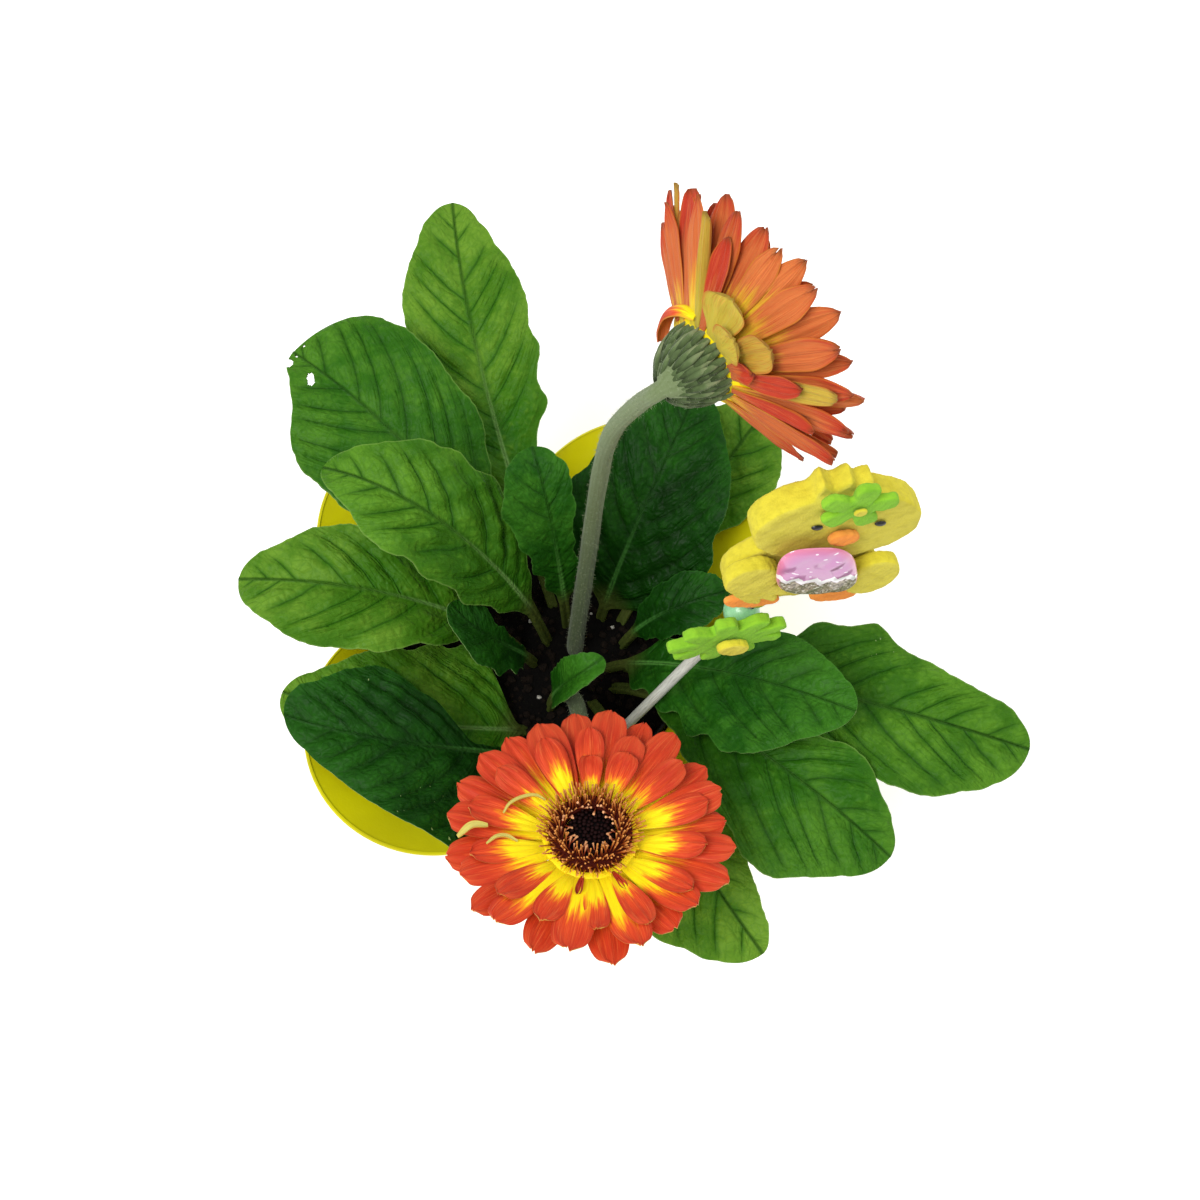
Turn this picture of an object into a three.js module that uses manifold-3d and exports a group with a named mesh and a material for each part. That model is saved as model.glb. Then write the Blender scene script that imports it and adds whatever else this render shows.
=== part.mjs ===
// A gerbera in its pot. A four-petalled pot cover holds a nursery pot of soil. From the soil rise a
// rosette of lobed leaves, two blooms on downy stems and a chick ornament on a stick.
// Millimetres, +Z up. The origin is the centre of the pot cover's flat base, and the front is -Y.
import * as THREE from "three";
import { mergeVertices } from "three/addons/utils/BufferGeometryUtils.js";
import Module from "manifold-3d";

const wasm = await Module();
wasm.setup();

// ---- driving dimensions -------------------------------------------------------------------------

const GAP = 0.3; // clearance between pieces that touch
const SOIL_TOP = 75;
const CROWN = { x: 10, y: -2 }; // where the rosette grows, a little right of the pot's middle
const ROOT_DEPTH = 9; // how far petioles, stems and the stick stand in the soil

const COVER = {
  baseRadius: 39, throatRadius: 53, throatHeight: 80, wall: 0.8,
  lobeOffset: 34, lobeRadius: 43, // each rim lobe is a circle about (+-offset, +-offset)
  lobeHeight: 101, valleyHeight: 96, sides: 40,
};
const NURSERY = {
  floor: 1.1, baseRadius: 36.4, neck: 76, neckRadius: 49.6, lipRadius: 51, lipFold: 0.6, lipWidth: 1.2,
  top: 80.5, wall: 0.9,
};
const SOIL = { dip: 2.2, roughness: 1.1, rings: [0.97, 0.7, 0.35], sides: 20 };

const LEAF = {
  thickness: 0.8, stalkHalfWidth: 1.9, stalkRib: 2.1, tipRib: 0.35, wave: 0.07,
  tipFrom: 0.88, tipShare: 0.8, tipBlunt: 0.35,
  lobedShare: 0.7, stalkRows: 3, bladeRows: 15,
};
const STEM = { radiusFoot: 3.3, radiusTop: 2.6, sides: 8, steps: 12 };
const HEAD = {
  cupRadius: 9.5, cupDepth: 13, cupSteps: [0, 0.25, 0.55, 0.8, 1], cupShares: [0.3, 0.68, 0.9, 1, 0.97],
  hubFoot: 10, hubRadius: 14.2, hubThickness: 4,
  bractRadius: 1.1, bractTip: 0.4,
  bractRows: [
    { count: 8, depth: 9, radius: 7.2, length: 9, spread: 32 },
    { count: 10, depth: 5, radius: 8.4, length: 7.4, spread: 60 },
  ],
  ring: {
    inner: 7.9, outer: 12.4, base: 2, sink: 0.6, floretRadius: 0.75, floretTip: 1,
    rows: [
      { count: 18, radius: 11.4, height: 4.4, lean: 20 },
      { count: 13, radius: 9, height: 4.2, lean: 4 },
    ],
  },
  eye: { radius: 7.5, height: 3.4 },
};
const PETAL = { thickness: 0.8, footShare: 0.28 };

const UP = new THREE.Vector3(0, 0, 1);
const DEG = Math.PI / 180;

// ---- colours ------------------------------------------------------------------------------------

const finish = (color, roughness) => new THREE.MeshStandardMaterial({ color, roughness, metalness: 0 });
const FINISH = {
  cover: finish(0xc9c410, 0.35),
  nursery: finish(0x161614, 0.6),
  soil: finish(0x1b1410, 0.95),
  leaf: finish(0x3d7a22, 0.5),
  stem: finish(0x8a9c74, 0.8),
  petal: finish(0xe2551f, 0.55),
  floret: finish(0xb5602a, 0.7),
  eye: finish(0x2a0a0c, 0.7),
  stick: finish(0xe6e6e4, 0.4),
  yellowFelt: finish(0xe6d829, 0.95),
  greenFelt: finish(0x8fd13a, 0.9),
  orangeFelt: finish(0xf29a38, 0.9),
  pinkGloss: finish(0xd887b8, 0.25),
  greenBead: finish(0x7fbf8e, 0.2),
};

// ---- solids and meshes --------------------------------------------------------------------------

// A closed geometry as a solid, ready to be cut or joined.
function solidOf(geometry) {
  const bare = new THREE.BufferGeometry();
  bare.setAttribute("position", geometry.getAttribute("position").clone());
  if (geometry.index) bare.setIndex(geometry.index.clone());
  const merged = mergeVertices(bare, 1e-3);
  return new wasm.Manifold(new wasm.Mesh({
    numProp: 3,
    vertProperties: merged.getAttribute("position").array,
    triVerts: new Uint32Array(merged.index.array),
  }));
}

// A solid as a geometry.
function geometryOf(solid) {
  const mesh = solid.getMesh();
  const geometry = new THREE.BufferGeometry();
  geometry.setAttribute("position", new THREE.BufferAttribute(mesh.vertProperties, 3));
  geometry.setIndex(new THREE.BufferAttribute(mesh.triVerts, 1));
  return geometry;
}

// The largest of a solid's separate bodies.
function largestBody(solid) {
  const bodies = solid.decompose();
  return bodies.reduce((best, body) => (body.volume() > best.volume() ? body : best));
}

// Solids joined into one body.
function joined(geometries) {
  return largestBody(wasm.Manifold.union(geometries.map(solidOf)));
}

// A named mesh ready for the scene graph.
function part(name, shape, material) {
  const geometry = shape.getMesh ? geometryOf(shape) : shape;
  const mesh = new THREE.Mesh(geometry, material);
  mesh.name = name;
  return mesh;
}

// A repeatable number from 0 to 1 for each index and stream.
function chance(index, stream) {
  const value = Math.sin(index * 127.1 + stream * 311.7) * 43758.5453;
  return value - Math.floor(value);
}

// Triangles gathered from points.
class Surface {
  constructor() {
    this.positions = [];
    this.triangles = [];
  }

  point(p) {
    this.positions.push(p.x, p.y, p.z);
    return this.positions.length / 3 - 1;
  }

  quad(a, b, c, d) {
    this.triangles.push(a, b, c, a, c, d);
  }

  cap(ring) {
    for (let i = 1; i + 1 < ring.length; i++) this.triangles.push(ring[0], ring[i], ring[i + 1]);
  }

  geometry() {
    const made = new THREE.BufferGeometry();
    made.setAttribute("position", new THREE.Float32BufferAttribute(this.positions, 3));
    made.setIndex(this.triangles);
    return made;
  }
}

// A closed body through rings of points, each ring anticlockwise about the way it travels.
function loft(rings) {
  const surface = new Surface();
  const rows = rings.map((ring) => ring.map((p) => surface.point(p)));
  const sides = rings[0].length;
  for (let i = 0; i + 1 < rows.length; i++)
    for (let j = 0; j < sides; j++) {
      const k = (j + 1) % sides;
      surface.quad(rows[i][j], rows[i][k], rows[i + 1][k], rows[i + 1][j]);
    }
  surface.cap([...rows[0]].reverse());
  surface.cap(rows.at(-1));
  return surface.geometry();
}

// A thin closed body between two grids of points, both faces split into triangles alike.
// Rows run along the blade, columns from its right edge to its left.
function slab(top, bottom) {
  const surface = new Surface();
  const upper = top.map((row) => row.map((p) => surface.point(p)));
  const lower = bottom.map((row) => row.map((p) => surface.point(p)));
  const rows = upper.length - 1;
  const columns = upper[0].length - 1;
  for (let i = 0; i < rows; i++)
    for (let j = 0; j < columns; j++) {
      surface.quad(upper[i][j], upper[i + 1][j], upper[i + 1][j + 1], upper[i][j + 1]);
      surface.triangles.push(lower[i][j], lower[i + 1][j + 1], lower[i + 1][j]);
      surface.triangles.push(lower[i][j], lower[i][j + 1], lower[i + 1][j + 1]);
    }
  for (let i = 0; i < rows; i++) {
    surface.quad(upper[i][0], lower[i][0], lower[i + 1][0], upper[i + 1][0]);
    surface.quad(upper[i][columns], upper[i + 1][columns], lower[i + 1][columns], lower[i][columns]);
  }
  for (let j = 0; j < columns; j++) {
    surface.quad(upper[0][j], upper[0][j + 1], lower[0][j + 1], lower[0][j]);
    surface.quad(upper[rows][j], lower[rows][j], lower[rows][j + 1], upper[rows][j + 1]);
  }
  return surface.geometry();
}

// A frame on a curve: forward along it, left as near as can be to a wanted way, and up.
function frameAt(curve, u, wantedLeft) {
  const forward = curve.getTangentAt(u);
  const up = new THREE.Vector3().crossVectors(forward, wantedLeft).normalize();
  const left = new THREE.Vector3().crossVectors(up, forward).normalize();
  return { origin: curve.getPointAt(u), forward, up, left };
}

// A point beside a frame's origin.
const beside = (frame, left, up) =>
  frame.origin.clone().addScaledVector(frame.left, left).addScaledVector(frame.up, up);

// A round rod between two points.
function rod(from, to, radius, sides = 10, endRadius = radius) {
  const along = new THREE.Vector3().subVectors(to, from);
  const made = new THREE.CylinderGeometry(endRadius, radius, along.length(), sides);
  made.translate(0, along.length() / 2, 0);
  const turn = new THREE.Quaternion().setFromUnitVectors(new THREE.Vector3(0, 1, 0), along.normalize());
  made.applyQuaternion(turn);
  made.translate(from.x, from.y, from.z);
  return made;
}

// ---- pot ----------------------------------------------------------------------------------------

// The rim's distance from the axis: the outermost of four circles set on the diagonals.
function rimRadius(angle) {
  const quarter = Math.PI / 2;
  const fromDiagonal = ((angle % quarter) + quarter) % quarter - quarter / 2;
  const reach = COVER.lobeOffset * Math.SQRT2;
  return reach * Math.cos(fromDiagonal) +
    Math.sqrt(COVER.lobeRadius ** 2 - (reach * Math.sin(fromDiagonal)) ** 2);
}

// A ring of the cover's wall. Rise 0 is the throat, where the round cup ends, and 1 is the rim.
function flareRing(rise, inset) {
  return Array.from({ length: COVER.sides }, (_, i) => {
    const angle = (i / COVER.sides) * 2 * Math.PI;
    const lobe = Math.abs(Math.sin(2 * angle));
    const rimHeight = THREE.MathUtils.lerp(COVER.valleyHeight, COVER.lobeHeight, lobe);
    const radius = THREE.MathUtils.lerp(COVER.throatRadius, rimRadius(angle), rise) - inset;
    const height = COVER.throatHeight + (rimHeight - COVER.throatHeight) * rise ** 0.8 + inset;
    return new THREE.Vector3(radius * Math.cos(angle), radius * Math.sin(angle), height);
  });
}

function circle(radius, height, sides) {
  return Array.from({ length: sides }, (_, i) => {
    const angle = (i / sides) * 2 * Math.PI;
    return new THREE.Vector3(radius * Math.cos(angle), radius * Math.sin(angle), height);
  });
}

// A thin cup with a flat base, whose wall flares above the throat into four broad petals.
function potCover() {
  const { baseRadius, wall, sides } = COVER;
  const rises = [0, 0.45, 1];
  const inset = wall * Math.SQRT1_2;
  return part("pot_cover", loft([
    circle(baseRadius, 0, sides),
    ...rises.map((rise) => flareRing(rise, 0)),
    ...[...rises].reverse().map((rise) => flareRing(rise, inset)),
    circle(baseRadius - wall, wall, sides),
  ]), FINISH.cover);
}

// The grower's plastic pot, with a turned-out lip, standing in the cover.
function nurseryPot() {
  const { floor, baseRadius, neck, neckRadius, lipRadius, lipFold, lipWidth, top, wall } = NURSERY;
  const profile = [
    [0, floor], [baseRadius, floor], [neckRadius, neck], [lipRadius, neck + lipFold], [lipRadius, top],
    [lipRadius - lipWidth, top], [baseRadius - wall, floor + wall], [0, floor + wall],
  ].map(([r, z]) => new THREE.Vector2(r, z));
  return part("nursery_pot", turned(profile, SOIL.sides), FINISH.nursery);
}

// A profile of radius and height turned about +Z. An open one, clear of the axis, is closed on itself.
function turned(profile, sides, open = false) {
  return new THREE.LatheGeometry(open ? [...profile, profile[0]] : profile, sides).rotateX(Math.PI / 2);
}

// The soil fills the nursery pot, uneven on top, with a plain hole for each thing that stands in it.
function soil(holes) {
  const { floor, baseRadius, top, wall, lipRadius, lipWidth } = NURSERY;
  const bottom = floor + wall + GAP;
  const slope = (lipRadius - lipWidth - baseRadius + wall) / (top - floor - wall);
  const wallRadius = (z) => baseRadius - wall + slope * (z - floor - wall) - GAP;
  const rim = SOIL_TOP - SOIL.dip;
  const surfaceRings = SOIL.rings.map((share, row) =>
    circle(wallRadius(rim) * share, SOIL_TOP, SOIL.sides).map((p, i) => {
      p.z += SOIL.roughness * (2 * chance(i, row) - 1) - SOIL.dip * share ** 6;
      return p;
    }));
  let body = solidOf(loft([
    circle(wallRadius(bottom), bottom, SOIL.sides),
    circle(wallRadius(rim), rim, SOIL.sides),
    ...surfaceRings,
  ]));
  for (const hole of holes) body = body.subtract(solidOf(hole));
  return part("soil", largestBody(body), FINISH.soil);
}

// A plain round hole along the first stretch of a curve, from just below its root to above the soil.
// Drop moves the hole below the curve, to where the thing that stands in it has its middle.
function holeAlong(curve, radius, wantedLeft, drop = 0, sides = 8) {
  const length = curve.getLength();
  let u = 0;
  while (curve.getPointAt(u).z < SOIL_TOP + SOIL.roughness) u += 1 / length;
  const foot = beside(frameAt(curve, 0, wantedLeft), 0, -drop);
  const mouth = beside(frameAt(curve, u, wantedLeft), 0, -drop);
  const way = new THREE.Vector3().subVectors(mouth, foot).normalize();
  const flatRadius = radius / Math.cos(Math.PI / sides);
  return rod(foot.addScaledVector(way, -GAP), mouth.addScaledVector(way, 2), flatRadius, sides);
}

// ---- leaves -------------------------------------------------------------------------------------

// Each leaf, measured from its crown. Angles are degrees anticlockwise from +X seen from above.
//   root: [angle, distance] of the petiole's foot
//   toward, reach: where the tip lies
//   turn: how far the way the blade faces across is turned from toward, where it isn't square to it
//   heights: above the soil, of the midrib's two handles and of its tip
//   bow: how far the midrib bends to the left on its way
//   share: the blade's share of the midrib
//   left, right: how far each half of the blade spreads at the stations below, in millimetres
//   cup: how steeply its two halves rise from the midrib, or fall where it is negative
//   lobes: [count, depth] of the cuts in each side of the lower blade
const STATIONS = [0, 0.15, 0.3, 0.45, 0.6, 0.75, 0.9, 1];
const LEAVES = {
  leaf_back: {
    root: [108, 15], toward: 105.7, reach: 155, heights: [31, 50, 53], bow: 10, share: 0.7,
    left: [14, 23, 25, 24, 20, 12.5], right: [12, 19, 21, 21, 18, 11], cup: 0.05, lobes: [4, 0.2],
  },
  leaf_back_left: {
    root: [134, 15], toward: 136.7, reach: 127.5, heights: [40, 66, 58], bow: -5, share: 0.7,
    left: [10, 21, 29, 31, 27, 12], right: [9, 21, 27, 28, 29, 26], cup: 0.06, lobes: [3, 0.1],
  },
  leaf_left_high: {
    root: [150, 8], toward: 154, reach: 86, heights: [62, 88, 74], bow: -3, share: 0.75,
    left: [9, 16, 19, 19, 17, 9], right: [8, 18, 22, 22, 18, 10], cup: 0.1, lobes: [4, 0.22],
  },
  leaf_centre_back: {
    root: [98, 10], toward: 105, reach: 45, heights: [52, 80, 77], bow: 0, share: 0.72,
    left: [5, 8, 10.5, 13, 14.5, 11], right: [5, 8, 6.5, 7.5, 9, 8.5], cup: 0.1, lobes: [4, 0.3],
  },
  leaf_left: {
    root: [176, 15], toward: 175, reach: 107, heights: [44, 64, 50], bow: 0, share: 0.75,
    left: [8, 15, 20, 22, 21, 13], right: [8, 15, 20, 20, 18, 11], cup: 0.1, lobes: [3, 0.15],
  },
  leaf_left_small: {
    root: [188, 12], toward: 181, reach: 38, heights: [27, 47, 55], bow: 11, share: 0.72,
    left: [5, 8, 11, 12, 12, 8], right: [3, 4, 5, 6, 8, 7], cup: 0.15, lobes: [4, 0.3],
  },
  leaf_left_under: {
    root: [246, 28], toward: 193, reach: 97, heights: [18, 26, 28], bow: 13, share: 0.86,
    left: [14, 20, 24, 26, 20, 12], right: [30, 31, 28, 25, 20, 12], cup: 0.05, lobes: [3, 0.12],
  },
  leaf_front_left: {
    root: [252, 38], toward: 202, reach: 96, heights: [30, 56, 50], bow: 14, share: 0.85,
    left: [12, 30, 40, 33, 22, 12], right: [2.5, 3.5, 17, 25, 21, 13], cup: 0.1, lobes: [3, 0.15],
  },
  leaf_front: {
    root: [292, 14], toward: 299, reach: 123, heights: [26, 44, 35], bow: -5, share: 0.75,
    left: [6, 11, 15, 15, 12, 8], right: [6, 14, 22, 27, 26, 16], cup: 0.08, lobes: [3, 0.15],
  },
  leaf_front_right: {
    root: [318, 15], toward: 322, reach: 127, heights: [35, 51, 37], bow: 4, share: 0.75,
    left: [6, 10, 13, 16, 18, 11], right: [8, 16, 24, 30, 30.5, 18], cup: 0.08, lobes: [4, 0.2],
  },
  leaf_right: {
    root: [334, 9], toward: 337, reach: 96, heights: [26, 50, 59], bow: 4, share: 0.8,
    left: [7, 11, 16, 18, 16, 10], right: [8, 15, 24, 27.5, 25, 14], cup: 0.12, lobes: [4, 0.35],
  },
  leaf_far_right: {
    root: [346, 15], toward: 343.4, reach: 153, heights: [30, 44, 37], bow: 1, share: 0.75,
    left: [10, 18, 27, 22, 16, 12], right: [8, 14, 21, 25, 26, 18], cup: 0.06, lobes: [4, 0.25],
  },
  leaf_back_right: {
    root: [54, 15], toward: 61, reach: 87, heights: [34, 56, 53], bow: -3, share: 0.85,
    left: [13, 22, 25, 24, 20, 12], right: [16, 22, 27, 27, 22, 13], cup: 0.06, lobes: [3, 0.2],
  },
  leaf_behind: {
    root: [30, 16], toward: 50, reach: 109, heights: [16, 30, 30], bow: 0, share: 0.7,
    left: [6, 12, 18, 20, 18, 10], right: [6, 12, 18, 20, 17, 9], cup: 0.05, lobes: [3, 0.15],
  },
  leaf_right_small: {
    root: [12, 16], toward: 12, reach: 54, heights: [22, 36, 34], bow: 0, share: 0.7,
    left: [4, 8, 10, 11, 10, 7], right: [4, 8, 10, 11, 10, 7], cup: 0.1, lobes: [3, 0.25],
  },
  leaf_young: {
    root: [245, 20], toward: 301.6, reach: 20, heights: [35, 53, 50], bow: -8, share: 0.65, turn: 60,
    left: [4, 6, 7, 7.3, 6.5, 5], right: [4, 6, 7, 7.3, 6.5, 5], cup: 0.35, lobes: [0, 0],
  },
};

const crownPoint = (angle, distance, height) => new THREE.Vector3(
  CROWN.x + distance * Math.cos(angle * DEG), CROWN.y + distance * Math.sin(angle * DEG), SOIL_TOP + height);

// The midrib, from the petiole's foot in the soil to the leaf's tip.
function midrib({ root, toward, reach, heights, bow }, across) {
  const foot = crownPoint(root[0], root[1], -ROOT_DEPTH);
  const end = crownPoint(toward, reach, heights[2]);
  const handle = (share, height, bend) => new THREE.Vector3().lerpVectors(foot, end, share)
    .setZ(SOIL_TOP + height).addScaledVector(across, bend);
  const [first, second] = [handle(0.12, heights[0], bow * 0.4), handle(0.6, heights[1], bow)];
  return new THREE.CubicBezierCurve3(foot, first, second, end);
}

// A value between the stations of a list, smoothly joined.
function between(stations, values, s) {
  let i = 0;
  while (i < stations.length - 2 && s > stations[i + 1]) i++;
  const t = (s - stations[i]) / (stations[i + 1] - stations[i]);
  const at = (k) => values[THREE.MathUtils.clamp(k, 0, values.length - 1)];
  const [a, b, c, d] = [at(i - 1), at(i), at(i + 1), at(i + 2)];
  return b + 0.5 * t * (c - a + t * (2 * a - 5 * b + 4 * c - d + t * (3 * (b - c) + d - a)));
}

// How much of a half blade's width the cuts between its lobes leave.
function lobing([count, depth], s, lag) {
  const { lobedShare } = LEAF;
  if (s > lobedShare || count === 0) return 1;
  const cut = 0.5 - 0.5 * Math.cos(2 * Math.PI * count * (s / lobedShare + lag));
  return 1 - depth * cut * Math.sqrt(1 - s / lobedShare);
}

// How much of a half blade's width its rounded tip leaves.
function tipRounding(s) {
  const { tipFrom, tipBlunt } = LEAF;
  const past = Math.max(0, (s - tipFrom) / (1 - tipFrom));
  return Math.sqrt(1 - (1 - tipBlunt ** 2) * past ** 2);
}

// A petiole and blade in one thin body, with the rib standing out below.
function leaf(name, spec) {
  const { thickness, stalkHalfWidth, stalkRib, tipRib, tipShare, stalkRows, bladeRows } = LEAF;
  const way = (spec.toward + (spec.turn ?? 0)) * DEG;
  const across = new THREE.Vector3(-Math.sin(way), Math.cos(way), 0);
  const curve = midrib(spec, across);
  const reachOf = (list) => [stalkHalfWidth, ...list, list.at(-1) * tipShare];
  const halves = { [-1]: reachOf(spec.right), 1: reachOf(spec.left) };
  const top = [];
  const bottom = [];
  for (let i = 0; i <= stalkRows + bladeRows; i++) {
    const s = i < stalkRows ? 0 : 1 - (1 - (i - stalkRows) / bladeRows) ** 1.2;
    const u = i < stalkRows ? (i / stalkRows) * (1 - spec.share) : 1 - spec.share * (1 - s);
    const frame = frameAt(curve, u, across);
    const rib = THREE.MathUtils.lerp(stalkRib, tipRib, Math.min(1, s * 1.6));
    const wave = LEAF.wave * Math.sin(10 * s + spec.toward);
    const columns = [-1, -0.5, 0, 0.5, 1].map((column) => {
      const side = Math.sign(column) || 1;
      const width = between(STATIONS, halves[side], s) * lobing(spec.lobes, s, side > 0 ? 0 : 0.08) *
        tipRounding(s);
      const raise = Math.abs(column) * width * (spec.cup * Math.min(1, s * 4) + wave * column);
      return { left: column * width, raise, swell: rib * (1 - Math.abs(column)) ** 0.6 };
    });
    top.push(columns.map(({ left, raise }) => beside(frame, left, raise + thickness / 2)));
    bottom.push(columns.map(({ left, raise, swell }) => beside(frame, left, raise - thickness / 2 - swell)));
  }
  return {
    mesh: part(name, slab(top, bottom), FINISH.leaf),
    hole: holeAlong(curve, stalkHalfWidth + 2 * GAP, across, stalkRib / 2.5, 6),
  };
}

// ---- blooms -------------------------------------------------------------------------------------

// Each bloom: the middle of its head's upper face, the way it faces, the turn of its petals in
// degrees, the way its scape comes up from the soil, its rings of petals and its short or folded strays.
//   root, reach: how far out petals start and end; level: how far below the head's upper face they start
//   flare: degrees from the facing way; curl: degrees gained from root to tip; lag: share of a step turned
//   sag: degrees of flare lost opposite low, which is a turn about the head in degrees
const BLOOMS = {
  front: {
    centre: [17, -79.6, 142.4], facing: [0, 0.3, 0.954], turn: 6, low: 90,
    way: [[6, -14, 66], [7, -16.5, 80], [12, -28, 103], [15.5, -50, 117], [17, -72, 118]],
    rings: [
      { count: 11, root: 10, reach: 42.5, halfWidth: 6.2, level: 3.4, flare: 84, curl: 2, sag: 8 },
      { count: 11, root: 10, reach: 43, halfWidth: 6.2, level: 2.2, flare: 80, curl: 2, lag: 0.5, sag: 8 },
      { count: 14, root: 13.3, reach: 36, halfWidth: 4.8, level: 1, flare: 73, curl: 6, lag: 0.3, sag: 6 },
    ],
    strays: [],
  },
  back: {
    centre: [48.2, 19.5, 252], facing: [0.76, 0.635, -0.142], turn: 12, low: 105,
    way: [[11, 0, 66], [11.3, 1, 80], [15.5, 14, 122], [19.5, 23, 168], [23, 20.5, 205], [30, 13.5, 237]],
    rings: [
      { count: 11, root: 10.5, reach: 41, halfWidth: 4.7, level: 3.4, flare: 65, curl: 2, sag: 22 },
      { count: 11, root: 12, reach: 43, halfWidth: 4.7, level: 2.2, flare: 59, curl: 4, lag: 0.5, sag: 20 },
      { count: 7, root: 13.3, reach: 38, halfWidth: 4.6, level: 1, flare: 51, curl: 8, lag: 0.3, sag: 18 },
    ],
    strays: [
      { angle: 51, root: 10, reach: 39, halfWidth: 2.1, level: 3.5, flare: 77, curl: -6 },
      { angle: 86, root: 10, reach: 27, halfWidth: 4.4, level: 3.5, flare: 77, curl: -4 },
      { angle: 104, root: 10, reach: 22, halfWidth: 4.2, level: 3.5, flare: 88, curl: -4 },
      { angle: 113, root: 10, reach: 30, halfWidth: 4.2, level: 3.5, flare: 80, curl: -4 },
      { angle: 127, root: 10, reach: 21, halfWidth: 2.8, level: 3.5, flare: 91, curl: -4 },
      { angle: 141, root: 10, reach: 38, halfWidth: 3.2, level: 3.5, flare: 75, curl: 0 },
    ],
  },
};

// A place measured in a head's own frame: Z the way it faces, X level.
function headFrame({ centre, facing, turn }) {
  const z = new THREE.Vector3(...facing).normalize();
  const upright = Math.abs(z.z) > 0.9 ? new THREE.Vector3(0, 1, 0) : UP;
  const x = new THREE.Vector3().crossVectors(upright, z).normalize();
  const basis = new THREE.Matrix4().makeBasis(x, new THREE.Vector3().crossVectors(z, x), z);
  return basis.setPosition(...centre).multiply(new THREE.Matrix4().makeRotationZ(turn * DEG));
}

// One petal in its head's frame: a narrow foot, a broad blade and a rounded tip.
function petal(angle, { root, reach, halfWidth, level, flare, curl }) {
  const stations = [0, 0.42, 0.76, 0.93, 1];
  const breadths = [PETAL.footShare, 0.74, 1, 0.78, 0.36];
  const outward = new THREE.Vector3(Math.cos(angle), Math.sin(angle), 0);
  const left = new THREE.Vector3(-outward.y, outward.x, 0);
  const length = reach - root;
  const at = outward.clone().multiplyScalar(root).setZ(-level);
  let last = 0;
  return loft(stations.map((s, i) => {
    const lie = (flare + curl * s) * DEG;
    const forward = outward.clone().multiplyScalar(Math.sin(lie)).setZ(Math.cos(lie));
    at.addScaledVector(forward, (s - last) * length);
    last = s;
    const frame = { origin: at.clone(), left, up: new THREE.Vector3().crossVectors(forward, left) };
    const half = breadths[i] * halfWidth;
    const edge = PETAL.thickness / 2;
    return [[-half, -edge], [half, -edge], [half, edge], [-half, edge]].map(([l, u]) => beside(frame, l, u));
  }));
}

// How far the petals are drawn in, from 0 on the low side to 1 on the side opposite.
function drawnIn(away) {
  return THREE.MathUtils.smoothstep(0.5 - 0.5 * Math.cos(away), 0.3, 0.7);
}

// All the petals of a bloom, on the disc they grow from.
function petals(name, bloom) {
  const hub = new THREE.CylinderGeometry(HEAD.hubRadius, HEAD.hubFoot, HEAD.hubThickness, 14)
    .rotateX(Math.PI / 2).translate(0, 0, -HEAD.hubThickness / 2);
  const blades = bloom.rings.flatMap((ring, row) => Array.from({ length: ring.count }, (_, i) => {
    const jitter = (stream) => 2 * chance(i, stream + 7 * row) - 1;
    const angle = ((i + (ring.lag ?? 0)) / ring.count) * 2 * Math.PI + 0.03 * jitter(1);
    return petal(angle, {
      ...ring, reach: ring.reach * (1 + 0.05 * jitter(2)),
      flare: ring.flare + 1.2 * jitter(3) - ring.sag * drawnIn(angle - bloom.low * DEG),
      halfWidth: ring.halfWidth * (1 + 0.08 * jitter(4)),
    });
  }));
  const strays = bloom.strays.map((stray) => petal(stray.angle * DEG, stray));
  const head = geometryOf(joined([hub, ...blades, ...strays])).applyMatrix4(headFrame(bloom));
  return part(name, head, FINISH.petal);
}

// The ring of small tubular florets between the petals and the dark eye.
function floretRing(name, bloom) {
  const { ring } = HEAD;
  const { inner, outer, base, sink, floretRadius, floretTip } = ring;
  const section = [[inner, GAP], [outer, GAP], [outer, base], [inner, base]];
  const seat = turned(section.map(([r, z]) => new THREE.Vector2(r, z)), 16, true);
  const pegs = ring.rows.flatMap(({ count, radius, height, lean }, row) =>
    Array.from({ length: count }, (_, i) => {
      const angle = ((i + row / 2) / count) * 2 * Math.PI;
      const rise = height * (1 + 0.25 * (2 * chance(i, row + 20) - 1));
      const tilt = lean * DEG;
      const place = (r, z) => new THREE.Vector3(r * Math.cos(angle), r * Math.sin(angle), z);
      const tip = place(radius + rise * Math.sin(tilt), base + rise * Math.cos(tilt));
      return rod(place(radius, base - sink), tip, floretRadius, 3, floretTip);
    }));
  return part(name, geometryOf(joined([seat, ...pegs])).applyMatrix4(headFrame(bloom)), FINISH.floret);
}

// The dark eye of unopened florets.
function eye(name, bloom) {
  const { eye: { radius, height } } = HEAD;
  const profile = [
    [0, GAP], [radius, GAP], [radius, height * 0.5], [radius * 0.8, height * 0.8],
    [radius * 0.4, height * 0.85], [0, height * 0.7],
  ].map(([r, z]) => new THREE.Vector2(r, z));
  return part(name, turned(profile, 14).applyMatrix4(headFrame(bloom)), FINISH.eye);
}

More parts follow.
